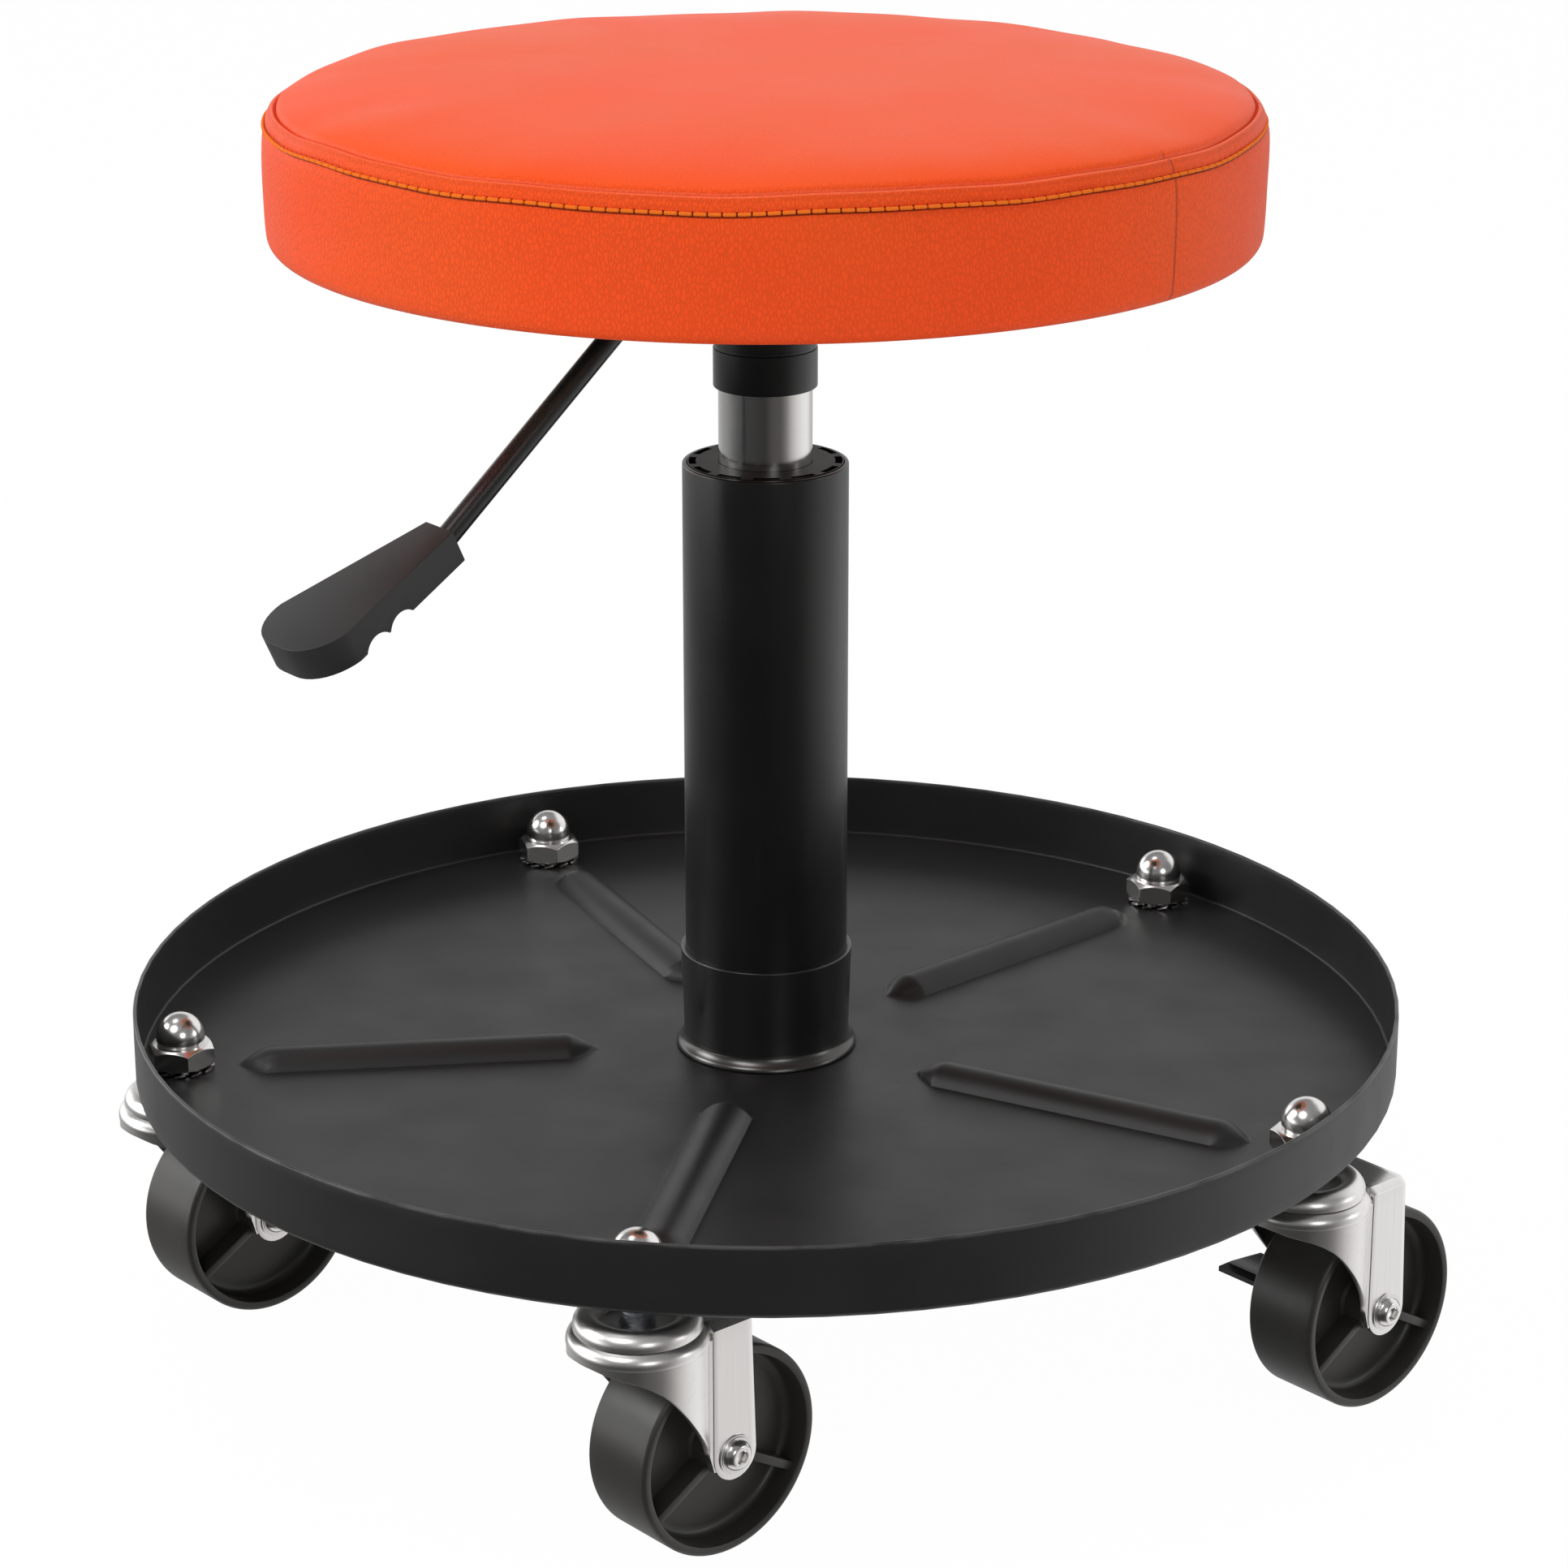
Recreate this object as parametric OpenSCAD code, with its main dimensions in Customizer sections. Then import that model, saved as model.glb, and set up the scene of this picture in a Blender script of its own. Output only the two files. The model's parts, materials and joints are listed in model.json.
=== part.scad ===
// Rolling creeper seat: a round padded seat on a gas lift column, standing in a
// round tool tray that rolls on five swivel casters. Millimetres, +Z up.
// The origin lies on the floor under the column's axis, and -Y runs under the first caster.

/* [Cushion] */
// Outer diameter of the cushion at its widest
cushion_d = 293; // [250:1:400]
// Height of the side band, from the underside to the stitched line
band_h = 35.6; // [26:0.1:70]
// How far the side band draws in towards the underside
band_draw = 0.9; // [0:0.1:6]
// Radius of the rolled lower edge
band_round = 4; // [3:0.5:9]
// Height of the sloping border above the stitched line
border_h = 4.2; // [2:0.1:10]
// Width of the sloping border
border_w = 3.6; // [2:0.1:10]
// Depth of the seam round the top panel
seam_depth = 1.6; // [0.8:0.1:3]
// Rise of the top panel's crown above its seam
crown_h = 8.6; // [4:0.1:40]
// Direction of the seam where the side band's ends meet
band_seam_azimuth = -29; // [-180:1:180]
// Width and depth of that seam
band_seam_w = 1; // [0.6:0.1:2]
// Thickness of the padding and cover beside the board
side_pad = 9; // [7:0.5:20]
// Width of the cover that is turned in under the board
turn_in_w = 17; // [10:1:30]
// Thickness of the turned-in cover
turn_in_h = 2.2; // [1:0.1:4]

/* [Seat board and plate] */
// Thickness of the plywood board
board_h = 12; // [9:0.5:20]
// Width across the square steel plate
plate_w = 150; // [120:1:180]
// Thickness of the steel plate
plate_h = 2.5; // [1.5:0.1:5]
// Corner radius of the steel plate
plate_corner_r = 14; // [5:1:30]
// Distance between neighbouring screws in the plate
screw_pitch = 118; // [90:1:130]
// Nominal diameter of the seat screws
screw_d = 6; // [4:0.5:8]

/* [Collar] */
// Outer diameter of the collar under the seat
collar_d = 31.2; // [30.4:0.1:40]
// Height of the collar
collar_h = 45.5; // [40:0.5:60]
// Height of the fine ring line above the collar's lower edge
collar_line_z = 12; // [5:0.5:20]

/* [Lever] */
// Direction in which the height lever points
lever_azimuth = 229; // [0:1:360]
// Diameter of the lever's rod
rod_d = 6.6; // [5:0.1:9]
// Distance of the lever's pivot from the column's axis
lever_pivot_r = 24; // [21.5:0.5:28]
// Diameter of the lever's pivot pin
lever_pin_d = 3.6; // [2.5:0.1:4]
// Distance of the rod's first bend from the column's axis
lever_bend_r = 36; // [32:0.5:60]
// Downward slope of the rod outside the bracket
rod_slope = 40.5; // [20:0.5:50]
// Horizontal reach from the first bend to the grip
rod_reach = 79; // [40:1:120]
// Downward slope of the grip
grip_slope = 24.2; // [0:0.1:35]
// Length of the grip
grip_len = 60.5; // [45:0.5:90]
// Width of the grip at the rod
grip_neck_w = 13.4; // [11:0.1:20]
// Width of the grip near its end
grip_end_w = 35; // [24:0.5:50]
// Thickness of the grip
grip_h = 10; // [9.6:0.1:14]
// Radius of the finger notches under the grip
notch_r = 6; // [4:0.1:8]

/* [Column] */
// Diameter of the column
column_d = 50; // [44:0.5:60]
// Wall of the column
column_wall = 1.5; // [1:0.1:2.5]
// Height of the column above the tray floor
column_up = 187; // [150:1:260]
// Depth of the column below the tray
column_down = 21; // [15:1:40]
// Diameter of the polished gas cylinder
cylinder_d = 28.2; // [26:0.1:30]
// Length of polished cylinder that shows at rest
cylinder_show = 23.2; // [18.5:0.1:100]
// Length of the plastic guide bushing
bushing_h = 55; // [40:1:70]
// Number of slots in the top of the bushing
slot_count = 12; // [6:1:20]
// Angle taken by one slot
slot_angle = 21; // [8:1:24]
// Diameter of the piston rod
piston_rod_d = 10; // [8:0.5:12]

/* [Hub socket] */
// Height of the tapered socket above the tray floor
socket_h = 32.5; // [20:0.5:50]
// Wall of the socket
socket_wall = 1.5; // [1:0.1:3]
// How much the radius of the column shrinks through the socket
taper_drop = 1.1; // [0.4:0.1:2]
// Height of the flared foot
foot_h = 3.8; // [2:0.1:8]
// How far the flared foot stands out
foot_flare = 2.6; // [1:0.1:6]

/* [Tray] */
// Outer diameter of the tray
tray_d = 391; // [385:1:480]
// Height of the tray's rim from its underside
rim_h = 21.8; // [15:0.1:40]
// Thickness of the sheet steel
sheet_h = 1.2; // [0.8:0.1:2]
// Outer radius of the bend between floor and rim
rim_bend_r = 2; // [1.6:0.1:8]
// Width of each embossed rib
rib_w = 16; // [10:0.5:22]
// Height of each embossed rib
rib_h = 4.8; // [2.5:0.1:6]
// Distance from the axis to the inner point of a rib
rib_in_r = 53; // [40:1:70]
// Distance from the axis to the outer point of a rib
rib_out_r = 164; // [120:1:166]
// Length of the point at each end of a rib
rib_point = 8; // [6:0.5:12]

/* [Casters] */
// Diameter of the circle through the swivel axes
stem_circle_d = 363; // [350:1:365]
// Direction in which all the wheels trail at rest
trail_azimuth = 52.5; // [-180:0.5:180]
// Distance from the swivel axis to the wheel's axle
trail = 22.8; // [18:0.1:26]
// Diameter of a wheel
wheel_d = 63; // [55:0.5:64]
// Width of a wheel
wheel_w = 24.4; // [18:0.1:26]
// Depth of the hollow in each side of a wheel
wheel_hollow = 8.5; // [5:0.1:10]
// Wall of the wheel's rim
wheel_wall = 2.6; // [2:0.1:5]
// Radius of the tread's edges
wheel_round = 2; // [1:0.1:3]
// Number of spokes on each side of a wheel
spoke_count = 3; // [3:1:6]
// Thickness of a spoke
spoke_w = 2; // [1.5:0.1:3]
// Thickness of the fork's sheet steel
fork_t = 1.6; // [1.4:0.1:2.5]
// Free width between the fork's legs
fork_gap = 25.6; // [25.4:0.1:29]
// Height of the fork's top above the wheel
fork_over = 10.4; // [10:0.2:16]
// Diameter of the fork's round head
head_d = 40; // [38:0.5:44]
// Diameter of the caster's polished upper race
race_d = 35; // [33:0.5:36]
// Diameter of the hole in the upper race
race_hole_d = 21; // [16:0.5:22]
// Radius of the fork leg's rounded end
leg_r = 7.7; // [7:0.1:9]
// Diameter of the threaded stem
stem_d = 10; // [8:0.5:10]
// Height from the fork's top to the tray
head_stack = 9.8; // [9:0.1:14]

/* [Cap nuts] */
// Width across the flats of the cap nuts
nut_af = 18.5; // [16:0.1:20]
// Height of the nut's hexagon
nut_hex_h = 7.4; // [5:0.1:10]
// Diameter of the nut's dome
nut_dome_d = 13.6; // [12.6:0.1:15]
// Height of the whole nut
nut_h = 17; // [15:0.1:22]
// Diameter of the toothed washer
washer_d = 18.3; // [16:0.1:20]

/* [Brake] */
// Length of the brake's tread plate, out from the fork
brake_reach = 17.6; // [12:0.1:20]
// Thickness of the brake's sheet steel
brake_t = 1.6; // [1.2:0.1:2.4]

/* [Hidden] */
// Facets per turn, for round shapes
round_fn = 96;
cut = 1;
caster_count = 5;
first_azimuth = -90;
braked_caster = 2;
// Clearances: parts that run, parts that are seated, and soft parts
run = 0.05;
snug = 0.02;
soft = 0.3;

// Crown of the top panel: how late it falls off, the shares of the panel's radius where its
// outline has points, and the flat middle
crown_power = 4.5;
crown_shares = [0.997, 0.985, 0.965, 0.935, 0.89, 0.83, 0.75, 0.65, 0.52, 0.38];
flat_share = 0.2;

// Caster heights, counted up from the floor
axle_z = wheel_d / 2;
wheel_top = wheel_d;
fork_top = wheel_top + fork_over;
tray_z = fork_top + head_stack;
floor_z = tray_z + sheet_h;

// Ball race of a caster
ball_d = 4.4;
ball_count = 12;
race_wall = 1.25;
ball_circle_r = race_d / 2 - race_wall - ball_d / 2 - run;
race_edge_z = fork_top + 0.3 * race_wall;
ball_z = fork_top + 0.18 * ball_d;
race_floor_h = 1.4;
race_floor_z = ball_z - 0.2 * ball_d;
head_roll_r = 3.6;
head_roll_z = fork_top - head_roll_r;
head_plate_h = 2.3;
head_plate_z = head_roll_z - head_roll_r;
spindle_d = 1.36 * stem_d;
rivet_d = 1.9 * stem_d;
rivet_h = 2.8;
stem_flange_d = 1.45 * stem_d;
stem_flange_h = 1.7;

// Fork outline
skirt_cut_r = 66.4;
skirt_cut_u = -49.1;
skirt_cut_drop = 22.8;
skirt_cut_z = axle_z - skirt_cut_drop;
leg_lean = 1.6;
fork_bevel = 3;
fork_half_w = fork_gap / 2 + fork_t;

// Axle: screw, sleeve and nut
axle_d = 5;
sleeve_d = 8;
hub_d = 15;
web_h = wheel_w - 2 * wheel_hollow;
leg_ring_d = 11;
leg_ring_h = 0.7;
screw_head_d = 9;
screw_head_top_d = 5.4;
screw_head_h = 2.3;
hex_key_af = 3;
hex_key_depth = 1.6;
axle_nut_af = 8;
axle_nut_h = 3.6;

// Brake lever
brake_w_in = fork_half_w + leg_ring_h + run;
brake_ring_d = 16;
brake_tip_u = 0.3;
brake_tip_up = 5;
brake_tip_z = axle_z + brake_tip_up;
brake_top_u = 5.5;
brake_top_up = 11.1;
brake_top_z = axle_z + brake_top_up;
brake_top_len = 7;
brake_curve_r = 16;
brake_centre_u = brake_top_u - brake_curve_r;
brake_rise = brake_top_z - brake_tip_z;
brake_fold_u = brake_centre_u + sqrt(brake_curve_r * brake_curve_r - brake_rise * brake_rise);
brake_neck_u = 12.7;
brake_neck_up = 0.4;

// Cap nut and washer
washer_h = 1.2;
washer_teeth = 12;
washer_slot_w = 1.2;
washer_slot_depth = 2.2;
nut_z = floor_z + washer_h;
nut_chamfer_share = 0.97;
stem_top = nut_z + nut_h - nut_dome_d / 2 + 0.1 * nut_dome_d;

// Column
column_top = floor_z + column_up;
column_foot_z = tray_z - column_down;
socket_top = floor_z + socket_h;
column_r = column_d / 2;
taper_slope = taper_drop / socket_h;
foot_plate_h = 3;
clip_h = 1.2;
clip_gap = 0.1;
spigot_d = 0.8 * piston_rod_d;
spigot_tail = 3.6;
bearing_z = column_foot_z + foot_plate_h;
bearing_washer_h = 1.5;
bearing_d = 30;
thrust_ball_d = 4;
thrust_ball_count = 12;
thrust_ball_circle_r = bearing_d / 2 - 0.9 * thrust_ball_d;
bearing_h = 2 * bearing_washer_h + thrust_ball_d + 2 * run;
buffer_d = 20;
buffer_h = 9;
slot_w = 1.9;
slot_depth = 5;
slot_edge = 0.4;
slot_r = column_r - column_wall - snug - 0.5 * slot_w - slot_edge;

// Seat heights at rest
collar_z = column_top + cylinder_show;
plate_z = collar_z + collar_h;
board_z = plate_z + plate_h;
cushion_z = board_z - turn_in_h - soft;

// Gas cylinder
cylinder_wall = 2.1;
cylinder_in_r = cylinder_d / 2 - cylinder_wall;
cylinder_top_gap = 12.6;
cylinder_top = plate_z - cylinder_top_gap;
lift_down = 18.5;
cylinder_low = bearing_z + bearing_h + buffer_h + lift_down;
cylinder_taper_h = cylinder_top - collar_z - 2 * clip_h;
cylinder_taper = 0.6;
gland_h = 13;
valve_h = 26;
piston_h = 12;
piston_up = 150;
piston_z = bearing_z + piston_up;
rod_tip = 3;

// Release pin and lever
lever_drop = 5.6;
lever_z = plate_z - lever_drop;
release_pin_d = 8;
release_pin_top = lever_z - rod_d / 2 - run;
release_pin_h = 22;
release_pin_room = 6;
rod_tail = 3;
ear_t = 2;
ear_play = 0.5;
ear_half_gap = rod_d / 2 + ear_play;
ear_len = 12;
ear_drop = 10.6;
pin_head_h = 1.2;
bend_r = 9;
bend_lap = 3;
bend_share = 0.98;
rod_end_r = lever_bend_r + rod_reach;
rod_end_z = lever_z - rod_reach * tan(rod_slope);
rod_in_grip = 24;
collar_slot_w = 1.2 * rod_d;
collar_slot_drop = 2;
collar_line_w = 0.8;
collar_line_depth = 0.3;

// Screws and T-nuts of the seat
screw_head_r = 0.92 * screw_d;
screw_head_high = 0.55 * screw_d;
screw_short = 1;
screw_len = board_h - screw_short;
tnut_flange_d = 3 * screw_d;
tnut_flange_h = 1.2;
tnut_barrel_d = 1.35 * screw_d;
tnut_barrel_h = 9;

casters = [0 : caster_count - 1];

// Places

function caster_azimuth(i) = first_azimuth + i * 360 / caster_count;

module at_stem(i) {
    rotate([0, 0, caster_azimuth(i)]) translate([stem_circle_d / 2, 0, 0])
        rotate([0, 0, -caster_azimuth(i)]) children();
}

// Local frame of a caster's fork: +X is the way it trails, Y is along the axle
module at_fork(i) { at_stem(i) rotate([0, 0, trail_azimuth]) children(); }

// Local frame of a wheel: Z is the axle, which points to the side that the brake is not on
module at_axle(i) { at_fork(i) translate([trail, 0, axle_z]) rotate([90, 0, 0]) children(); }

// Local frame of the lever: +X points along it
module at_lever() { rotate([0, 0, lever_azimuth]) children(); }

module at_screws() {
    for (a = [0 : 90 : 270])
        rotate([0, 0, a]) translate([screw_pitch / 2, screw_pitch / 2, 0]) children();
}

// Plain shapes

module disc(d, h) { cylinder(d = d, h = h, $fn = round_fn); }

module ring(d, bore, h) {
    difference() {
        disc(d, h);
        translate([0, 0, -cut]) disc(bore, h + 2 * cut);
    }
}

module torus(circle_r, tube_r) {
    rotate_extrude($fn = round_fn) translate([circle_r, 0]) circle(r = tube_r, $fn = round_fn);
}

module hexagon(af, h) { cylinder(d = af / cos(30), h = h, $fn = 6); }

// Cushion

// Height of the crown over its seam at a share of the panel's radius
function crown_at(share) = crown_h * sqrt(1 - pow(share, crown_power));

module cushion_profile() {
    wide_r = cushion_d / 2;
    low_r = wide_r - band_draw;
    border_r = wide_r - border_w;
    panel_r = border_r - seam_depth / 2;
    border_z = band_h + border_h;
    open_r = board_r() - turn_in_w;
    hollow_z = turn_in_h + board_h + 2 * soft;
    polygon(concat(
        [[0, border_z + crown_h], [0, hollow_z], [board_r() + soft, hollow_z],
         [board_r() + soft, turn_in_h], [open_r, turn_in_h], [open_r, 0]],
        [for (a = [0 : 15 : 90])
            [low_r - band_round + band_round * sin(a), band_round - band_round * cos(a)]],
        [[wide_r - 0.35 * band_draw, 0.45 * band_h],
         [wide_r, 0.68 * band_h],
         [wide_r - 0.1 * border_w, 0.88 * band_h],
         [wide_r - 0.25 * border_w, band_h - 0.2 * seam_depth],
         [wide_r - 0.25 * border_w - 0.3 * seam_depth, band_h],
         [wide_r - 0.35 * border_w, band_h + 0.25 * seam_depth],
         [border_r + 0.22 * border_w, border_z - 0.3 * border_h],
         [border_r, border_z],
         [border_r - 0.25 * seam_depth, border_z - 0.1 * border_h],
         [panel_r, border_z - 0.5 * seam_depth]],
        [for (share = crown_shares) [panel_r * share, border_z + crown_at(share)]],
        [[panel_r * flat_share, border_z + crown_h]]));
}

module cushion() {
    color("orangered") translate([0, 0, cushion_z]) difference() {
        rotate_extrude($fn = round_fn) cushion_profile();
        rotate([0, 0, band_seam_azimuth])
            translate([cushion_d / 2 - band_seam_w, -band_seam_w / 2, turn_in_h])
                cube([band_seam_w + cut, band_seam_w, band_h + border_h]);
    }
}

// Board, plate and their fasteners

function board_r() = cushion_d / 2 - band_draw - side_pad;

module seat_board() {
    color("burlywood") translate([0, 0, board_z]) difference() {
        disc(2 * board_r(), board_h);
        at_screws() {
            translate([0, 0, -cut]) disc(tnut_barrel_d + 2 * snug, board_h + 2 * cut);
            translate([0, 0, board_h - tnut_flange_h])
                disc(tnut_flange_d + 2 * snug, tnut_flange_h + cut);
        }
    }
}

module seat_plate() {
    side = plate_w - 2 * plate_corner_r;
    color("dimgray") translate([0, 0, plate_z]) difference() {
        union() {
            translate([-plate_w / 2, -side / 2, 0]) cube([plate_w, side, plate_h]);
            translate([-side / 2, -plate_w / 2, 0]) cube([side, plate_w, plate_h]);
            for (x = [-1, 1], y = [-1, 1])
                translate([x * side / 2, y * side / 2, 0]) disc(2 * plate_corner_r, plate_h);
        }
        at_screws() translate([0, 0, -cut]) disc(screw_d + 2 * run, plate_h + 2 * cut);
    }
}

module seat_screws() {
    color("silver") at_screws() {
        translate([0, 0, plate_z - screw_head_high]) difference() {
            disc(2 * screw_head_r, screw_head_high);
            translate([0, 0, -cut]) hexagon(0.6 * screw_d, 0.55 * screw_head_high + cut);
        }
        translate([0, 0, plate_z]) disc(screw_d, screw_len);
    }
}

module board_t_nuts() {
    color("silver") at_screws() translate([0, 0, board_z + board_h]) difference() {
        union() {
            translate([0, 0, -tnut_flange_h]) disc(tnut_flange_d, tnut_flange_h);
            translate([0, 0, -tnut_barrel_h]) disc(tnut_barrel_d, tnut_barrel_h);
        }
        translate([0, 0, -tnut_barrel_h - cut])
            disc(screw_d + 2 * snug, tnut_barrel_h + 2 * cut);
    }
}

// Collar that takes the top of the gas cylinder

// Radius of the cylinder's outside at a height
function cylinder_r_at(z) =
    cylinder_d / 2 - cylinder_taper * max(0, z - (cylinder_top - cylinder_taper_h)) / cylinder_taper_h;

module seat_collar() {
    top_bore = cylinder_in_r;
    line_r = collar_d / 2 - collar_line_depth;
    color("#1c1c1e") difference() {
        translate([0, 0, collar_z]) disc(collar_d, collar_h);
        translate([0, 0, collar_z - cut])
            disc(cylinder_d + 2 * snug, cylinder_top - cylinder_taper_h - collar_z + cut);
        translate([0, 0, cylinder_top - cylinder_taper_h])
            cylinder(r1 = cylinder_d / 2 + snug, r2 = cylinder_r_at(cylinder_top) + snug,
                     h = cylinder_taper_h, $fn = round_fn);
        translate([0, 0, cylinder_top - snug]) disc(2 * top_bore, plate_z - cylinder_top + cut);
        at_lever() translate([0, -collar_slot_w / 2, lever_z - rod_d / 2 - collar_slot_drop])
            cube([collar_d, collar_slot_w, collar_h]);
        translate([0, 0, collar_z + collar_line_z]) ring(2 * (collar_d / 2 + cut), 2 * line_r, collar_line_w);
    }
}

// Lever and its bracket

module lever_bracket() {
    color("dimgray") at_lever() for (side = [-1, 1])
        difference() {
            translate([lever_pivot_r - ear_len / 2,
                       side > 0 ? ear_half_gap : -ear_half_gap - ear_t,
                       plate_z - ear_drop])
                cube([ear_len, ear_t, ear_drop]);
            lever_axis() disc(lever_pin_d + 2 * snug, 4 * (ear_half_gap + ear_t));
        }
}

// A round bore or pin along the lever's pivot, centred on the rod
module lever_axis() {
    translate([lever_pivot_r, 2 * (ear_half_gap + ear_t), lever_z]) rotate([90, 0, 0]) children();
}

module lever_pin() {
    length = 2 * (ear_half_gap + ear_t) + 2 * snug;
    color("silver") at_lever() translate([lever_pivot_r, length / 2, lever_z]) rotate([90, 0, 0]) {
        disc(lever_pin_d, length);
        for (z = [-pin_head_h, length]) translate([0, 0, z]) disc(1.6 * lever_pin_d, pin_head_h);
    }
}

// A straight length of round bar in the lever's plane, from one point to another
module bar_between(from, to, d) {
    span = to - from;
    translate([from[0], 0, from[1]]) rotate([0, 90 - atan2(span[1], span[0]), 0])
        disc(d, norm(span));
}

// A bend of the bar about a centre below it or above it, a little thinner than the bar and
// lapped into it at both ends
module bar_bend(centre, from_angle, turn, d) {
    translate([centre[0], 0, centre[1]]) rotate([90, 0, 0]) rotate([0, 0, from_angle - bend_lap])
        rotate_extrude(angle = turn + 2 * bend_lap, $fn = round_fn)
            translate([bend_r, 0]) circle(d = bend_share * d, $fn = round_fn);
}

function along(slope) = [cos(slope), -sin(slope)];
function across(slope) = [sin(slope), cos(slope)];

// The rod's corners, and how far from each its bend begins
rod_corner_in = [lever_bend_r, lever_z];
rod_corner_out = [rod_end_r, rod_end_z];
ease_in = bend_r * tan(rod_slope / 2);
ease_out = bend_r * tan((rod_slope - grip_slope) / 2);
grip_bar_end = rod_corner_out + rod_in_grip * along(grip_slope);

// The outer length of the rod: the straight slope, the bend at the grip and the end inside it,
// each straight lengthened by some play at its ends
module rod_outer(d, play) {
    slope_end = rod_corner_out - ease_out * along(rod_slope);
    bar_between(rod_corner_in + ease_in * along(rod_slope), slope_end + play * along(rod_slope), d);
    bar_bend(slope_end + bend_r * across(rod_slope), 270 - rod_slope, rod_slope - grip_slope, d);
    bar_between(rod_corner_out + (ease_out - play) * along(grip_slope),
                grip_bar_end + play * along(grip_slope), d);
}

module lever_rod() {
    color("#1c1c1e") at_lever() difference() {
        union() {
            bar_between([-rod_tail, lever_z], rod_corner_in - ease_in * along(0), rod_d);
            bar_bend(rod_corner_in - ease_in * along(0) - bend_r * across(0), 90 - rod_slope, rod_slope, rod_d);
            rod_outer(rod_d, 0);
        }
        lever_axis() disc(lever_pin_d + 2 * run, 4 * (ear_half_gap + ear_t));
    }
}

// Plan of the grip: a paddle that widens to a rounded end
module grip_plan() {
    corner_r = 0.4 * grip_end_w;
    wide_at = grip_len - corner_r;
    polygon([[0, -grip_neck_w / 2], [wide_at, -grip_end_w / 2],
             [wide_at, grip_end_w / 2], [0, grip_neck_w / 2]]);
    difference() {
        intersection() {
            translate([wide_at - corner_r, -grip_end_w / 2]) square([2 * corner_r, grip_end_w]);
            union() {
                for (s = [-1, 1]) translate([wide_at, s * (grip_end_w / 2 - corner_r)])
                    circle(r = corner_r, $fn = round_fn);
                translate([wide_at, corner_r - grip_end_w / 2])
                    square([corner_r, grip_end_w - 2 * corner_r]);
            }
        }
        translate([0, -grip_end_w]) square([wide_at - corner_r / 2, 2 * grip_end_w]);
    }
}

module lever_grip() {
    first_notch = 0.47 * grip_len;
    notch_gap = 1.72 * notch_r;
    notch_bite = 0.42 * notch_r;
    color("#2b2b2d") at_lever() difference() {
        translate([rod_end_r, 0, rod_end_z]) rotate([0, grip_slope, 0]) difference() {
            translate([0, 0, -0.55 * grip_h]) linear_extrude(grip_h) grip_plan();
            for (i = [0, 1])
                translate([first_notch + i * notch_gap, grip_end_w, -0.55 * grip_h - notch_r + notch_bite])
                    rotate([90, 0, 0]) disc(2 * notch_r, 2 * grip_end_w);
        }
        rod_outer(rod_d + 2 * snug, 2 * snug);
    }
}

// Gas lift

module release_pin() {
    color("silver") translate([0, 0, release_pin_top - release_pin_h])
        disc(release_pin_d, release_pin_h);
}

module cylinder_valve() {
    color("dimgray") translate([0, 0, cylinder_top - valve_h]) difference() {
        disc(2 * (cylinder_in_r - snug), valve_h);
        translate([0, 0, release_pin_top - release_pin_h - release_pin_room - cylinder_top + valve_h])
            disc(release_pin_d + 2 * run, valve_h + cut);
    }
}

module gas_cylinder() {
    straight = cylinder_top - cylinder_taper_h - cylinder_low;
    color("silver") translate([0, 0, cylinder_low]) difference() {
        union() {
            disc(cylinder_d, straight);
            translate([0, 0, straight])
                cylinder(r1 = cylinder_d / 2, r2 = cylinder_r_at(cylinder_top),
                         h = cylinder_taper_h, $fn = round_fn);
        }
        translate([0, 0, -cut]) disc(2 * cylinder_in_r, straight + cylinder_taper_h + 2 * cut);
    }
}

module cylinder_gland() {
    color("dimgray") translate([0, 0, cylinder_low])
        ring(2 * (cylinder_in_r - snug), piston_rod_d + 2 * run, gland_h);
}

module piston() {
    groove_h = 0.22 * piston_h;
    color("dimgray") translate([0, 0, piston_z]) difference() {
        disc(2 * (cylinder_in_r - run), piston_h);
        translate([0, 0, -cut]) disc(spigot_d + 2 * snug, piston_h + 2 * cut);
        translate([0, 0, (piston_h - groove_h) / 2])
            ring(2 * cylinder_in_r + cut, 2 * cylinder_in_r - groove_h, groove_h);
    }
}

module piston_rod() {
    foot_len = bearing_h + foot_plate_h + spigot_tail;
    shoulder_z = bearing_z + bearing_h;
    groove_z = column_foot_z - clip_gap - clip_h;
    color("silver") difference() {
        union() {
            translate([0, 0, shoulder_z - foot_len]) disc(spigot_d, foot_len);
            translate([0, 0, shoulder_z]) disc(piston_rod_d, piston_z - shoulder_z);
            translate([0, 0, piston_z]) disc(spigot_d, piston_h + rod_tip);
        }
        translate([0, 0, groove_z - run])
            ring(2 * spigot_d, clip_seat_d(), clip_h + 2 * run);
    }
}

function clip_seat_d() = 0.75 * spigot_d;

// A washer of the thrust bearing, with the groove in which its balls run
module bearing_washer(bore, groove_at) {
    difference() {
        ring(bearing_d, bore, bearing_washer_h);
        translate([0, 0, groove_at]) torus(thrust_ball_circle_r, thrust_ball_d / 2 + run);
    }
}

function thrust_ball_z() = bearing_z + bearing_h / 2;

module rod_washer() {
    z = bearing_z + bearing_h - bearing_washer_h;
    color("silver") translate([0, 0, z])
        bearing_washer(spigot_d + 2 * snug, thrust_ball_z() - z);
}

module column_washer() {
    color("silver") translate([0, 0, bearing_z])
        bearing_washer(spigot_d + 4 * run, thrust_ball_z() - bearing_z);
}

module thrust_balls() {
    color("gold") for (k = [0 : thrust_ball_count - 1])
        rotate([0, 0, k * 360 / thrust_ball_count])
            translate([thrust_ball_circle_r, 0, thrust_ball_z()])
                sphere(d = thrust_ball_d, $fn = round_fn);
}

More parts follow.
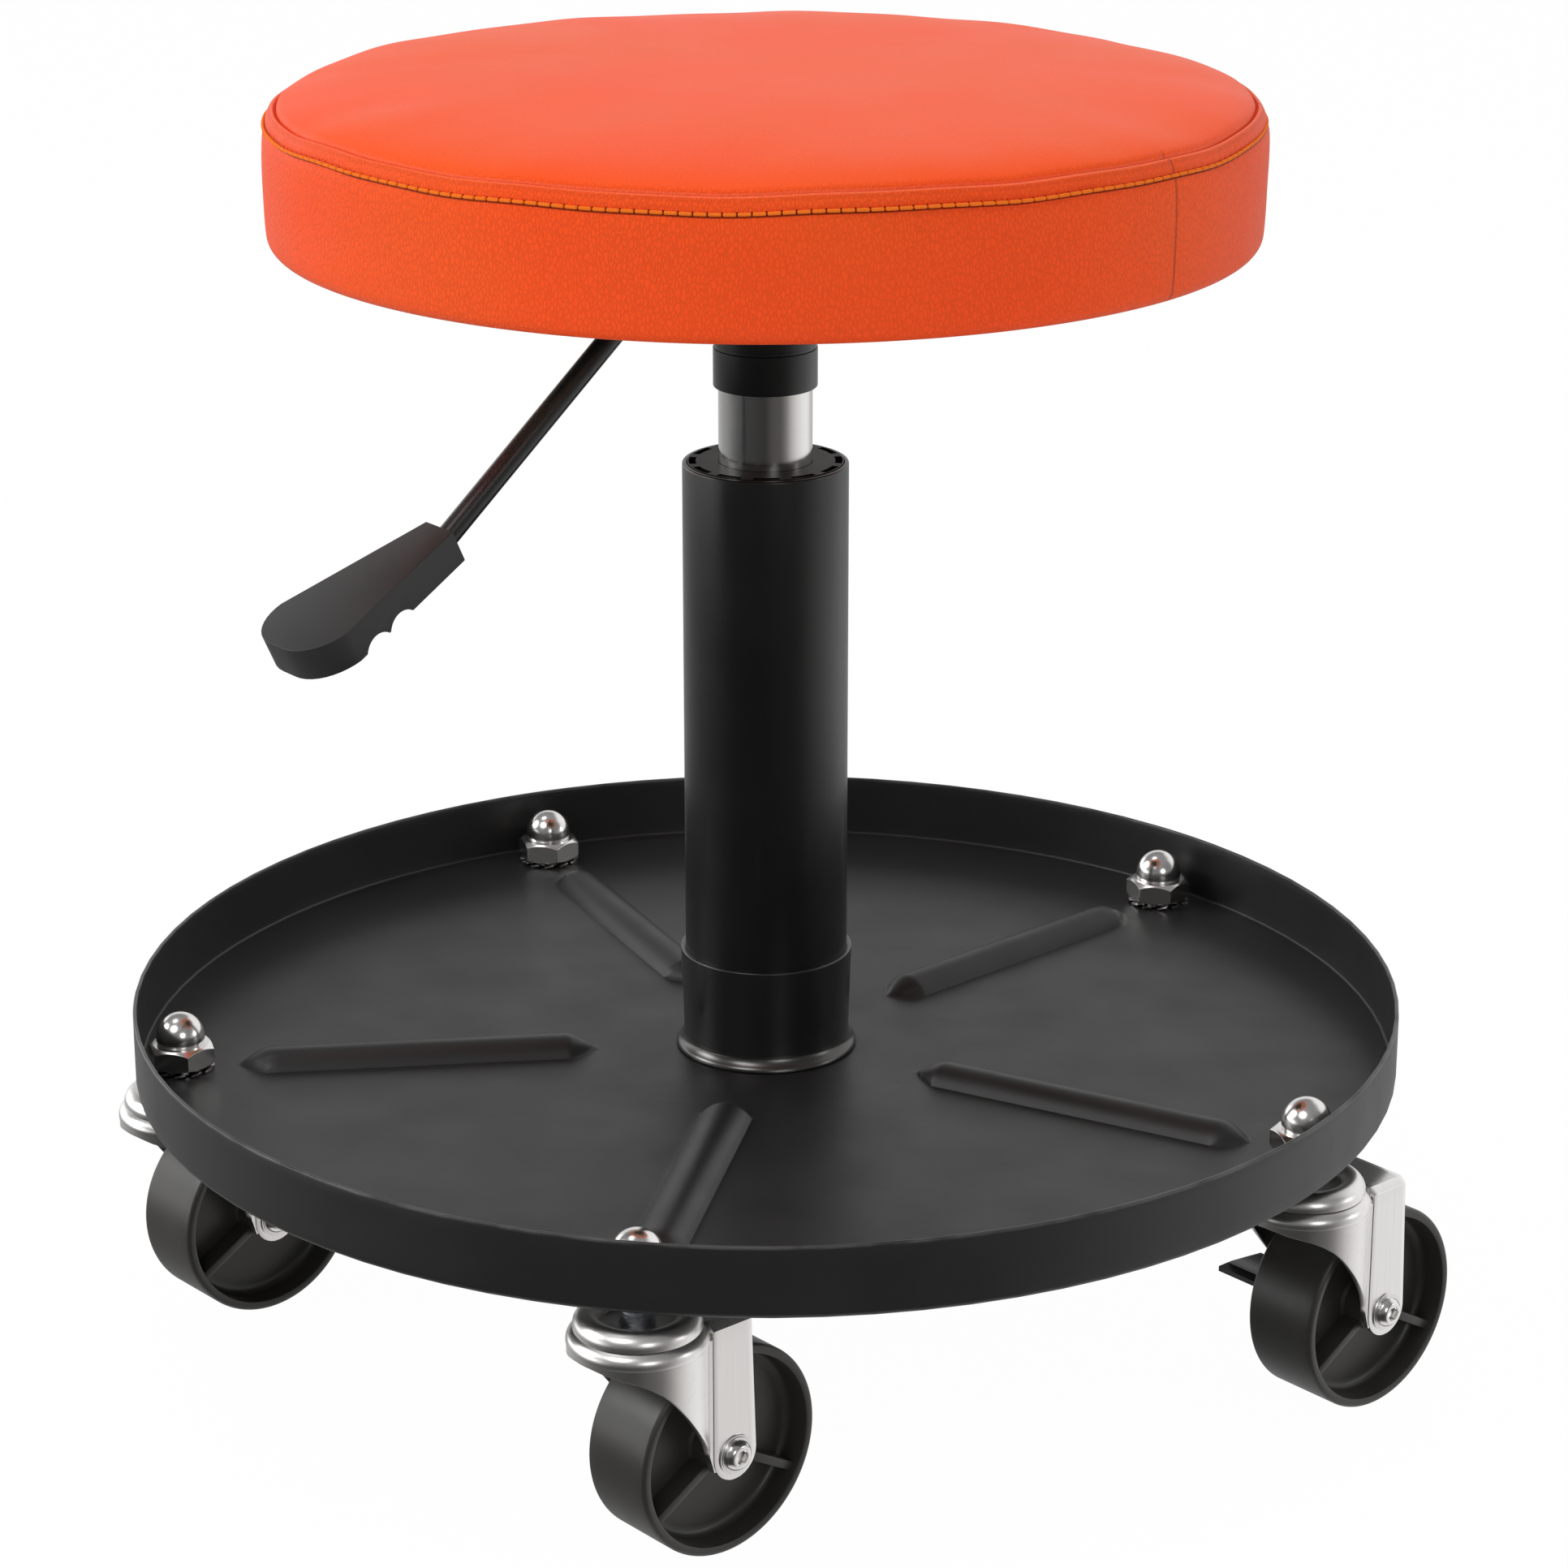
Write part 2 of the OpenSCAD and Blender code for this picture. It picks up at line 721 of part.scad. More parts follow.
module rod_buffer() {
    color("#303030") translate([0, 0, bearing_z + bearing_h])
        ring(buffer_d, piston_rod_d + 2 * snug, buffer_h);
}

// Column

// Outer radius of the column at a height: straight above the socket, then tapered
function column_r_at(z) = column_r - taper_slope * max(0, socket_top - z);

module column_tube() {
    color("#1c1c1e") difference() {
        union() {
            translate([0, 0, socket_top]) disc(column_d, column_top - socket_top);
            translate([0, 0, column_foot_z])
                cylinder(r1 = column_r_at(column_foot_z), r2 = column_r,
                         h = socket_top - column_foot_z, $fn = round_fn);
        }
        translate([0, 0, socket_top]) disc(column_d - 2 * column_wall, column_top - socket_top + cut);
        translate([0, 0, column_foot_z])
            cylinder(r1 = column_r_at(column_foot_z) - column_wall, r2 = column_r - column_wall,
                     h = socket_top - column_foot_z, $fn = round_fn);
        translate([0, 0, column_foot_z - cut])
            disc(2 * (column_r_at(column_foot_z) - column_wall), 2 * cut);
    }
}

module column_foot() {
    color("dimgray") translate([0, 0, column_foot_z])
        ring(2 * (column_r_at(column_foot_z) - column_wall - snug), spigot_d + 4 * run, foot_plate_h);
}

module retaining_clip() {
    clip_d = 2.1 * spigot_d;
    color("silver") translate([0, 0, column_foot_z - clip_gap - clip_h]) difference() {
        disc(clip_d, clip_h);
        translate([0, 0, -cut]) disc(clip_seat_d() + 2 * run, clip_h + 2 * cut);
        translate([0, -0.28 * spigot_d, -cut]) cube([clip_d, 0.56 * spigot_d, clip_h + 2 * cut]);
    }
}

module guide_bushing() {
    color("#27272a") translate([0, 0, column_top - bushing_h]) difference() {
        ring(2 * (column_r - column_wall - snug), cylinder_d + 2 * run, bushing_h);
        for (k = [0 : slot_count - 1])
            rotate([0, 0, k * 360 / slot_count - slot_angle / 2])
                translate([0, 0, bushing_h - slot_depth])
                    rotate_extrude(angle = slot_angle, $fn = round_fn)
                        translate([slot_r - slot_w / 2, 0]) square([slot_w, slot_depth + cut]);
    }
}

module hub_socket() {
    spigot_low = tray_z - 0.4 * column_down;
    foot_r = column_r_at(floor_z) + socket_wall;
    color("#1c1c1e") difference() {
        union() {
            translate([0, 0, spigot_low])
                cylinder(r1 = column_r_at(spigot_low) + socket_wall - snug,
                         r2 = column_r + socket_wall, h = socket_top - spigot_low, $fn = round_fn);
            translate([0, 0, floor_z]) cylinder(r1 = foot_r + foot_flare, r2 = foot_r, h = foot_h,
                                                $fn = round_fn);
        }
        translate([0, 0, spigot_low])
            cylinder(r1 = column_r_at(spigot_low) + snug, r2 = column_r + snug,
                     h = socket_top - spigot_low, $fn = round_fn);
        translate([0, 0, spigot_low - cut]) disc(2 * (column_r_at(spigot_low) + snug), 2 * cut);
        translate([0, 0, socket_top - snug]) disc(2 * (column_r + snug), cut);
    }
}

// Tray

module rim_corner(r, z) { translate([tray_d / 2 - rim_bend_r, z]) circle(r = r, $fn = round_fn); }

module tray_profile() {
    out_r = tray_d / 2;
    bend_z = rim_bend_r;
    difference() {
        union() {
            square([out_r - rim_bend_r, sheet_h]);
            translate([out_r - sheet_h, bend_z]) square([sheet_h, rim_h - bend_z - sheet_h / 2]);
            translate([out_r - sheet_h / 2, rim_h - sheet_h / 2])
                circle(d = sheet_h, $fn = round_fn);
            intersection() {
                rim_corner(rim_bend_r, bend_z);
                translate([out_r - rim_bend_r, 0]) square([rim_bend_r, bend_z]);
            }
        }
        rim_corner(rim_bend_r - sheet_h, bend_z);
    }
}

// Rib whose section is an arc, with its ends drawn to points on the floor
module rib_body(shell) {
    arc_r = (rib_w * rib_w / 4 + rib_h * rib_h) / (2 * rib_h);
    sunk = arc_r - rib_h;
    length = rib_out_r - rib_in_r - 2 * rib_point;
    tip_r = sunk - shell;
    translate([rib_in_r + rib_point, 0, sheet_h - sunk]) rotate([0, 90, 0]) {
        disc(2 * (arc_r - shell), length);
        translate([0, 0, length])
            cylinder(r1 = arc_r - shell, r2 = tip_r, h = rib_point, $fn = round_fn);
        translate([0, 0, -rib_point])
            cylinder(r1 = tip_r, r2 = arc_r - shell, h = rib_point, $fn = round_fn);
    }
}

module ribs(shell, from_z) {
    for (i = casters) rotate([0, 0, caster_azimuth(i)])
        intersection() {
            rib_body(shell);
            translate([rib_in_r - rib_point, -rib_w, from_z])
                cube([rib_out_r - rib_in_r + 2 * rib_point, 2 * rib_w, rib_h + sheet_h + cut]);
        }
}

module tray() {
    color("#232325") translate([0, 0, tray_z]) difference() {
        union() {
            rotate_extrude($fn = round_fn) tray_profile();
            ribs(0, sheet_h / 2);
        }
        ribs(sheet_h, -cut);
        translate([0, 0, -cut])
            disc(2 * (column_r_at(floor_z) + socket_wall + snug), sheet_h + 2 * cut);
        for (i = casters) at_stem(i) translate([0, 0, -cut])
            disc(stem_d + 4 * run, sheet_h + 2 * cut);
    }
}

// Cap nuts and washers

module cap_nuts() {
    corner_d = nut_af / cos(30);
    color("gainsboro") for (i = casters) at_stem(i) translate([0, 0, nut_z]) difference() {
        union() {
            intersection() {
                hexagon(nut_af, nut_hex_h);
                cylinder(d1 = corner_d + 2 * nut_hex_h, d2 = nut_chamfer_share * nut_af,
                         h = nut_hex_h + 0.5 * sheet_h, $fn = round_fn);
            }
            translate([0, 0, nut_h - nut_dome_d / 2]) sphere(d = nut_dome_d, $fn = round_fn);
            disc(0.96 * nut_dome_d, nut_h - nut_dome_d / 2);
        }
        translate([0, 0, -cut]) disc(stem_d + 2 * snug, stem_top - nut_z + snug + cut);
    }
}

module lock_washers() {
    color("gainsboro") for (i = casters) at_stem(i) translate([0, 0, floor_z]) difference() {
        ring(washer_d, stem_d + 4 * run, washer_h);
        for (k = [0 : washer_teeth - 1]) rotate([0, 0, k * 360 / washer_teeth])
            translate([washer_d / 2 - washer_slot_depth, -washer_slot_w / 2, -cut])
                cube([washer_slot_depth + cut, washer_slot_w, washer_h + 2 * cut]);
    }
}

// Fixed pieces of the casters

module caster_stems() {
    rivet_z = head_plate_z - 2 * run - rivet_h;
    color("silver") for (i = casters) at_stem(i) {
        translate([0, 0, rivet_z]) disc(rivet_d, rivet_h);
        translate([0, 0, rivet_z]) disc(spindle_d, race_floor_z - rivet_z);
        translate([0, 0, race_floor_z]) disc(stem_d, stem_top - race_floor_z);
        translate([0, 0, tray_z - stem_flange_h]) disc(stem_flange_d, stem_flange_h);
    }
}

module race_profile() {
    crown_r = ball_d / 2 + run;
    difference() {
        union() {
            translate([ball_circle_r, ball_z]) circle(r = crown_r + race_wall, $fn = round_fn);
            translate([0, race_floor_z]) square([ball_circle_r, race_floor_h]);
        }
        translate([ball_circle_r, ball_z]) circle(r = crown_r, $fn = round_fn);
        translate([ball_circle_r - crown_r, 0]) square([race_d, ball_z]);
        translate([0, 0]) square([race_d, race_floor_z]);
        translate([0, race_floor_z + race_floor_h]) square([race_hole_d / 2, race_d]);
        translate([-cut, 0]) square([cut + stem_d / 2 + snug, fork_top + race_d]);
        translate([ball_circle_r, 0]) square([race_d, race_edge_z]);
    }
}

module caster_races() {
    color("gainsboro") for (i = casters) at_stem(i)
        rotate_extrude($fn = round_fn) race_profile();
}

module caster_balls() {
    color("gold") for (i = casters, k = [0 : ball_count - 1]) at_stem(i)
        rotate([0, 0, k * 360 / ball_count]) translate([ball_circle_r, 0, ball_z])
            sphere(d = ball_d, $fn = round_fn);
}

// Turning pieces of the casters

module head_profile() {
    roll_at = head_d / 2 - head_roll_r;
    difference() {
        union() {
            translate([roll_at, head_roll_z]) circle(r = head_roll_r, $fn = round_fn);
            translate([0, head_plate_z]) square([roll_at, head_plate_h]);
        }
        translate([ball_circle_r, ball_z]) circle(r = ball_d / 2 + run, $fn = round_fn);
        translate([-cut, 0]) square([cut + spindle_d / 2 + run, fork_top]);
    }
}

// Side view of one leg, with X along the trail and Y up
module leg_outline() {
    translate([trail, axle_z]) circle(r = leg_r, $fn = round_fn);
    polygon([[trail - leg_r, axle_z], [trail + leg_r, axle_z],
             [trail + leg_r - leg_lean, fork_top], [trail - leg_r - leg_lean, fork_top]]);
}

// Section through the legs and the plate that joins them, with bevelled corners
module yoke_section() {
    inner_bevel = fork_bevel - fork_t * (2 - sqrt(2));
    top = fork_top;
    in_w = fork_gap / 2;
    in_top = fork_top - fork_t;
    low = axle_z - leg_r - cut;
    polygon([[-fork_half_w, low], [-fork_half_w, top - fork_bevel], [-fork_half_w + fork_bevel, top],
             [fork_half_w - fork_bevel, top], [fork_half_w, top - fork_bevel], [fork_half_w, low],
             [in_w, low], [in_w, in_top - inner_bevel], [in_w - inner_bevel, in_top],
             [-in_w + inner_bevel, in_top], [-in_w, in_top - inner_bevel], [-in_w, low]]);
}

module fork_yoke() {
    intersection() {
        rotate([90, 0, 90]) linear_extrude(trail + 2 * leg_r) yoke_section();
        translate([0, fork_half_w + cut, 0]) rotate([90, 0, 0])
            linear_extrude(2 * (fork_half_w + cut)) leg_outline();
    }
}

// Round skirt below the head, swept away in front and joined to the legs
module fork_skirt() {
    skirt_low = axle_z;
    join_u = sqrt(head_d * head_d / 4 - fork_half_w * fork_half_w);
    reach_u = trail - leg_r + cut;
    difference() {
        union() {
            intersection() {
                translate([0, 0, skirt_low])
                    ring(head_d - 0.4 * fork_t, head_d - 2.4 * fork_t, head_roll_z - skirt_low);
                translate([-head_d, -head_d, 0]) cube([head_d + join_u, 2 * head_d, fork_top]);
            }
            for (s = [-1, 1])
                translate([join_u - fork_t, s > 0 ? fork_gap / 2 : -fork_half_w, skirt_low])
                    cube([reach_u - join_u + fork_t, fork_t, fork_top - fork_bevel - skirt_low]);
        }
        translate([skirt_cut_u, head_d, skirt_cut_z]) rotate([90, 0, 0])
            disc(2 * skirt_cut_r, 2 * head_d);
        translate([0, -fork_gap / 2, 0]) cube([reach_u + cut, fork_gap, fork_top]);
    }
}

module fork(i) {
    color("lightgray") at_fork(i) difference() {
        union() {
            rotate_extrude($fn = round_fn) head_profile();
            fork_skirt();
            difference() {
                fork_yoke();
                disc(head_d - 2 * head_roll_r, fork_top + cut);
            }
            for (s = [-1, 1]) translate([trail, s * fork_half_w, axle_z]) rotate([-s * 90, 0, 0])
                disc(leg_ring_d, leg_ring_h);
        }
        translate([trail, fork_half_w + cut + leg_ring_h, axle_z]) rotate([90, 0, 0])
            disc(axle_d + 2 * run, 2 * (fork_half_w + cut + leg_ring_h));
        torus_groove();
    }
}

// Groove in which the caster's balls run, cut through all of the fork
module torus_groove() { translate([0, 0, ball_z]) torus(ball_circle_r, ball_d / 2 + run); }

module axle_screw(i) {
    head_z = fork_half_w + leg_ring_h;
    tail_z = -head_z - (i == braked_caster - 1 ? brake_t + 2 * run : 0) - axle_nut_h;
    color("gainsboro") at_axle(i) {
        translate([0, 0, tail_z]) disc(axle_d, head_z - tail_z);
        translate([0, 0, head_z]) difference() {
            cylinder(d1 = screw_head_d, d2 = screw_head_top_d, h = screw_head_h, $fn = round_fn);
            translate([0, 0, screw_head_h - hex_key_depth]) hexagon(hex_key_af, hex_key_depth + cut);
        }
    }
}

module axle_sleeve(i) {
    half = fork_gap / 2;
    color("silver") at_axle(i) translate([0, 0, -half]) ring(sleeve_d, axle_d + 2 * snug, 2 * half);
}

module axle_nut(i) {
    z = fork_half_w + leg_ring_h + (i == braked_caster - 1 ? brake_t + 2 * run : 0);
    color("gainsboro") at_axle(i) translate([0, 0, -z - axle_nut_h]) difference() {
        hexagon(axle_nut_af, axle_nut_h);
        translate([0, 0, -cut]) disc(axle_d + 2 * snug, axle_nut_h + 2 * cut);
    }
}

module wheel_profile() {
    out_r = wheel_d / 2;
    half = wheel_w / 2;
    in_r = out_r - wheel_wall;
    bore_r = sleeve_d / 2 + run;
    hub_half = half - 0.5 * wheel_round;
    union() {
        translate([in_r, -half + wheel_round]) square([wheel_wall, wheel_w - 2 * wheel_round]);
        translate([in_r, -half]) square([wheel_wall - wheel_round, wheel_w]);
        for (s = [-1, 1]) intersection() {
            translate([out_r - wheel_round, s * (half - wheel_round)])
                circle(r = wheel_round, $fn = round_fn);
            translate([in_r, -half]) square([wheel_wall, wheel_w]);
        }
        translate([bore_r, -web_h / 2]) square([in_r - bore_r + snug, web_h]);
        translate([bore_r, -hub_half]) square([hub_d / 2 - bore_r, 2 * hub_half]);
        for (s = [0, 1]) mirror([0, s]) polygon([
            [in_r + snug, web_h / 2 - snug], [in_r + snug, web_h / 2 + wheel_wall],
            [in_r - wheel_wall, web_h / 2 - snug]]);
    }
}

module wheel(i) {
    spoke_half = wheel_w / 2 - 1.25 * wheel_round;
    spoke_out = wheel_d / 2 - wheel_wall / 2;
    color("#262628") at_axle(i) {
        rotate_extrude($fn = round_fn) wheel_profile();
        for (k = [0 : spoke_count - 1]) rotate([0, 0, 90 + k * 360 / spoke_count])
            difference() {
                translate([0, -spoke_w / 2, -spoke_half]) cube([spoke_out, spoke_w, 2 * spoke_half]);
                translate([0, 0, -wheel_w]) disc(hub_d - 2 * snug, 2 * wheel_w);
            }
    }
}

// Brake lever beside the braked caster's leg, which turns on the axle

// Side view of the arm, which is cut away below the fork's skirt
module brake_arm_outline() {
    translate([trail, axle_z]) circle(d = brake_ring_d, $fn = round_fn);
    polygon([[trail - 0.1 * brake_ring_d, axle_z + 0.49 * brake_ring_d],
             [trail - 0.3 * brake_ring_d, axle_z - 0.39 * brake_ring_d],
             [brake_fold_u, brake_tip_z - brake_t], [brake_top_u, brake_top_z],
             [brake_top_u + brake_t, brake_top_z], [brake_neck_u, axle_z + brake_neck_up]]);
}

// Side view of the tread plate: a flat lip, then a fold into a slightly hollow riser
module brake_tread_outline() {
    translate([brake_tip_u, brake_tip_z - brake_t])
        square([brake_fold_u - brake_tip_u + brake_t / 2, brake_t]);
    intersection() {
        translate([brake_centre_u, brake_top_z]) difference() {
            circle(r = brake_curve_r + brake_t, $fn = round_fn);
            circle(r = brake_curve_r, $fn = round_fn);
        }
        translate([brake_centre_u, brake_tip_z - brake_t])
            square([brake_curve_r + brake_t, brake_rise + brake_t]);
    }
}

module brake_lever() {
    arm_y = brake_w_in;
    tip_y = arm_y + brake_reach;
    color("#2b2b2d") at_fork(braked_caster - 1) difference() {
        union() {
            translate([0, arm_y + brake_t, 0]) rotate([90, 0, 0])
                linear_extrude(brake_t) brake_arm_outline();
            intersection() {
                translate([0, tip_y, 0]) rotate([90, 0, 0])
                    linear_extrude(brake_reach) brake_tread_outline();
                rotate([90, 0, 90]) linear_extrude(trail) polygon([
                    [arm_y, 0], [tip_y, 0], [tip_y, brake_tip_z],
                    [arm_y + brake_top_len, brake_top_z], [arm_y, brake_top_z]]);
            }
        }
        translate([trail, arm_y - cut, axle_z]) rotate([-90, 0, 0])
            disc(axle_d + 2 * run, brake_t + 2 * cut);
    }
}

cushion();
seat_board();
seat_plate();
seat_collar();
seat_screws();
board_t_nuts();
lever_bracket();
lever_pin();
lever_rod();
lever_grip();
release_pin();
gas_cylinder();
cylinder_valve();
cylinder_gland();
piston();
piston_rod();
rod_washer();
rod_buffer();
thrust_balls();
column_washer();
column_foot();
retaining_clip();
column_tube();
guide_bushing();
hub_socket();
tray();
cap_nuts();
lock_washers();
caster_stems();
caster_races();
caster_balls();
for (i = casters) fork(i);
for (i = casters) axle_screw(i);
for (i = casters) axle_sleeve(i);
for (i = casters) axle_nut(i);
for (i = casters) wheel(i);
brake_lever();
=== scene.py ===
"""Rolling creeper seat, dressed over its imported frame.

Every size in the classes is in millimetres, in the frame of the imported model: the origin is on the
floor under the column and +Z is up. Meshes are shaped with Blender's own operators and their
places stay in the meshes.
"""

import json
import logging
import math
from dataclasses import dataclass, field
from enum import Enum
from typing import Callable, Optional, Sequence, Union

import bpy
from mathutils import Matrix, Vector, kdtree


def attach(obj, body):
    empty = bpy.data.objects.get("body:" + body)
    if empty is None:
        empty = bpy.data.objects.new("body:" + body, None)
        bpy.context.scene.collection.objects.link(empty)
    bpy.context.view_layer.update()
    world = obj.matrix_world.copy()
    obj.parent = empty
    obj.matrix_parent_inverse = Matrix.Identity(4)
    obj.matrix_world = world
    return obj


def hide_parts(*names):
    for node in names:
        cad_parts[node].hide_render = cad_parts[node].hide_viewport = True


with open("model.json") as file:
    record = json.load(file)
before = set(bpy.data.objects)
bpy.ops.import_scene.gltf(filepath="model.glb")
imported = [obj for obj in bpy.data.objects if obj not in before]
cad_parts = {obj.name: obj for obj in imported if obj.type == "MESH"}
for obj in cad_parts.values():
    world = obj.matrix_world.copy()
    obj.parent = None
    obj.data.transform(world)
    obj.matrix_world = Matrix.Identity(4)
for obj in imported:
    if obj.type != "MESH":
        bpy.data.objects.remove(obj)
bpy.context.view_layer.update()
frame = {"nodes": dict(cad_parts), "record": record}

log = logging.getLogger("creeper_seat")
Piece = bpy.types.Object
Point = Sequence[float]
Pair = tuple[float, float]
Triple = tuple[float, float, float]
Colour = Triple

MM = 0.001
ROUND = 2 * math.pi
DOUBLES = 2e-6  # metres under which two vertices are one
FLOOR_Z = 84.4  # upper side of the tray's floor
SEAT_Z = 340.1  # underside of the seat
SEAM_UP = 35.6  # the stitched line over the seat's underside
PANEL_R = 142.1
STITCHES = 236
SEAM_WAVES = ((0.32, 5, 0.6), (0.26, 11, 2.1), (0.12, 23, 0.0))  # size, waves a turn, phase
STEMS = 5
STEM_CIRCLE_R = 181.5
FIRST_STEM = -90  # direction of the front caster in degrees


class Shape(Enum):
    """Ways in which a line of points is turned into a shape."""

    OPEN = "open"
    CLOSED = "closed"


class Side(Enum):
    """The two sides of a wheel, told by the sign of the axle's direction."""

    VIEWER = 1
    BRAKE = -1


# Workbench


class Bench:
    """Mesh tools that shape one object at a time with Blender's operators."""

    @staticmethod
    def clear() -> None:
        """Leaves edit mode and deselects everything."""
        if bpy.context.object is not None and bpy.context.object.mode != "OBJECT":
            Bench.leave()
        bpy.ops.object.select_all(action="DESELECT")

    @staticmethod
    def edit() -> None:
        """Enters edit mode with everything selected."""
        bpy.ops.object.mode_set(mode="EDIT")
        bpy.ops.mesh.select_all(action="SELECT")

    @staticmethod
    def leave() -> None:
        """Leaves edit mode."""
        bpy.ops.object.mode_set(mode="OBJECT")

    @staticmethod
    def hold(piece: Piece) -> None:
        """Makes one piece the only selected and active object.

        Args:
            piece: The object to hold.
        """
        Bench.clear()
        piece.select_set(True)
        bpy.context.view_layer.objects.active = piece

    @staticmethod
    def pick_faces(piece: Piece, test: Callable[[bpy.types.MeshPolygon], bool]) -> None:
        """Enters edit mode with only those faces selected that pass a test.

        Args:
            piece: The object to edit.
            test: Tells whether a face is to be selected.
        """
        Bench.hold(piece)
        bpy.ops.object.mode_set(mode="EDIT")
        bpy.ops.mesh.select_mode(type="FACE")
        bpy.ops.mesh.select_all(action="DESELECT")
        Bench.leave()
        for face in piece.data.polygons:
            face.select = test(face)
        bpy.ops.object.mode_set(mode="EDIT")

    @staticmethod
    def named(name: str) -> Piece:
        """Names the active object and its mesh.

        Args:
            name: The piece's name.

        Returns:
            The active object.
        """
        piece = bpy.context.object
        piece.name = name
        piece.data.name = name
        return piece

    @staticmethod
    def chain(name: str, points: Sequence[Point], shape: Shape = Shape.OPEN) -> Piece:
        """Extrudes a line of vertices from one vertex, and leaves it selected in edit mode.

        Args:
            name: The piece's name.
            points: The line's points.
            shape: Whether the line runs back to its first point.

        Returns:
            The object, in edit mode.
        """
        Bench.clear()
        bpy.ops.mesh.primitive_plane_add(size=0.01)
        piece = Bench.named(name)
        Bench.edit()
        bpy.ops.mesh.merge(type="CENTER")
        bpy.ops.transform.translate(value=Vector(points[0]) * MM)
        stops = [Vector(p) for p in points]
        if shape is Shape.CLOSED:
            stops.append(stops[0])
        for before, after in zip(stops, stops[1:]):
            bpy.ops.mesh.extrude_vertices_move(TRANSFORM_OT_translate={"value": (after - before) * MM})
        bpy.ops.mesh.select_all(action="SELECT")
        bpy.ops.mesh.remove_doubles(threshold=1e-7)
        bpy.ops.mesh.select_all(action="SELECT")
        return piece

    @staticmethod
    def close_up(threshold: float = DOUBLES) -> None:
        """Merges doubles, turns all faces outwards and leaves edit mode.

        Args:
            threshold: Metres under which two vertices are one.
        """
        bpy.ops.mesh.select_all(action="SELECT")
        bpy.ops.mesh.remove_doubles(threshold=threshold)
        bpy.ops.mesh.normals_make_consistent(inside=False)
        Bench.leave()

    @staticmethod
    def lathe(
        name: str, profile: Sequence[Point], steps: int = 96, start: float = 0.0, shape: Shape = Shape.OPEN
    ) -> Piece:
        """Turns a profile of (radius, height) points about Z.

        Args:
            name: The piece's name.
            profile: The points, which begin and end on the axis or make a closed section.
            steps: Number of steps round the axis.
            start: Direction of the first step in degrees.
            shape: Whether the section is closed.

        Returns:
            The turned object.
        """
        piece = Bench.chain(name, [(*polar(r, start), z) for r, z in profile], shape)
        bpy.ops.mesh.spin(steps=steps, angle=ROUND, center=(0, 0, 0), axis=(0, 0, 1))
        Bench.close_up()
        return piece

    @staticmethod
    def ring(piece: Piece, count: int) -> None:
        """Repeats a piece's mesh evenly round Z.

        Args:
            piece: The object, whose mesh lies at its first place.
            count: How many there are afterwards.
        """
        Bench.hold(piece)
        Bench.edit()
        angle = ROUND * (count - 1) / count
        bpy.ops.mesh.spin(steps=count - 1, dupli=True, angle=angle, center=(0, 0, 0), axis=(0, 0, 1))
        Bench.close_up(1e-7)

    @staticmethod
    def slab(name: str, outline: Sequence[Point], low: float, high: float) -> Piece:
        """Fills a closed outline in the XY plane and extrudes it upwards.

        Args:
            name: The piece's name.
            outline: The outline's (x, y) points in order.
            low: Height of the lower face.
            high: Height of the upper face.

        Returns:
            The closed slab.
        """
        piece = Bench.chain(name, [(x, y, low) for x, y in outline], Shape.CLOSED)
        bpy.ops.mesh.edge_face_add()
        bpy.ops.mesh.extrude_region_move(TRANSFORM_OT_translate={"value": (0, 0, (high - low) * MM)})
        Bench.close_up()
        return piece

    @staticmethod
    def sheet(name: str, columns: int, rows: int, form: Callable[[float, float], Point]) -> Piece:
        """Presses a flat grid into a formed sheet.

        Args:
            name: The piece's name.
            columns: Number of cells along the first direction.
            rows: Number of cells along the second direction.
            form: Gives the place of a point from its column and row number.

        Returns:
            The open sheet, with its doubles merged.
        """
        Bench.clear()
        bpy.ops.mesh.primitive_grid_add(x_subdivisions=columns, y_subdivisions=rows, size=2)
        piece = Bench.named(name)
        for vertex in piece.data.vertices:
            i, j = (vertex.co.x + 1) / 2 * columns, (vertex.co.y + 1) / 2 * rows
            vertex.co = Vector(form(i, j)) * MM
        Bench.edit()
        bpy.ops.mesh.remove_doubles(threshold=DOUBLES)
        Bench.leave()
        return piece

    @staticmethod
    def modify(piece: Piece, kind: str, **settings: object) -> Piece:
        """Adds a modifier to a piece and applies it.

        Args:
            piece: The object to change.
            kind: The modifier's type.
            settings: The modifier's properties.

        Returns:
            The same object.
        """
        Bench.hold(piece)
        modifier = piece.modifiers.new(kind.title(), kind)
        for key, value in settings.items():
            setattr(modifier, key, value)
        bpy.ops.object.modifier_apply(modifier=modifier.name)
        return piece

    @staticmethod
    def thicken(piece: Piece, thickness: float, offset: float = 0.0) -> Piece:
        """Gives a sheet its wall, even where it bends."""
        settings = {"thickness": thickness * MM, "offset": offset, "use_even_offset": True}
        return Bench.modify(piece, "SOLIDIFY", **settings)

    @staticmethod
    def ease_edges(piece: Piece, width: float, segments: int = 2, angle: float = 35.0) -> Piece:
        """Bevels the edges that are sharper than an angle in degrees."""
        limit = {"limit_method": "ANGLE", "angle_limit": math.radians(angle)}
        return Bench.modify(piece, "BEVEL", width=width * MM, segments=segments, **limit)

    @staticmethod
    def carve(piece: Piece, tool: Piece, operation: str = "DIFFERENCE") -> None:
        """Cuts a piece with a tool body, or keeps what they share, and removes the tool."""
        Bench.modify(piece, "BOOLEAN", object=tool, operation=operation, solver="EXACT")
        Bench.discard(tool)

    @staticmethod
    def discard(*pieces: Piece) -> None:
        """Removes trial pieces and tools."""
        for piece in pieces:
            bpy.data.objects.remove(piece, do_unlink=True)

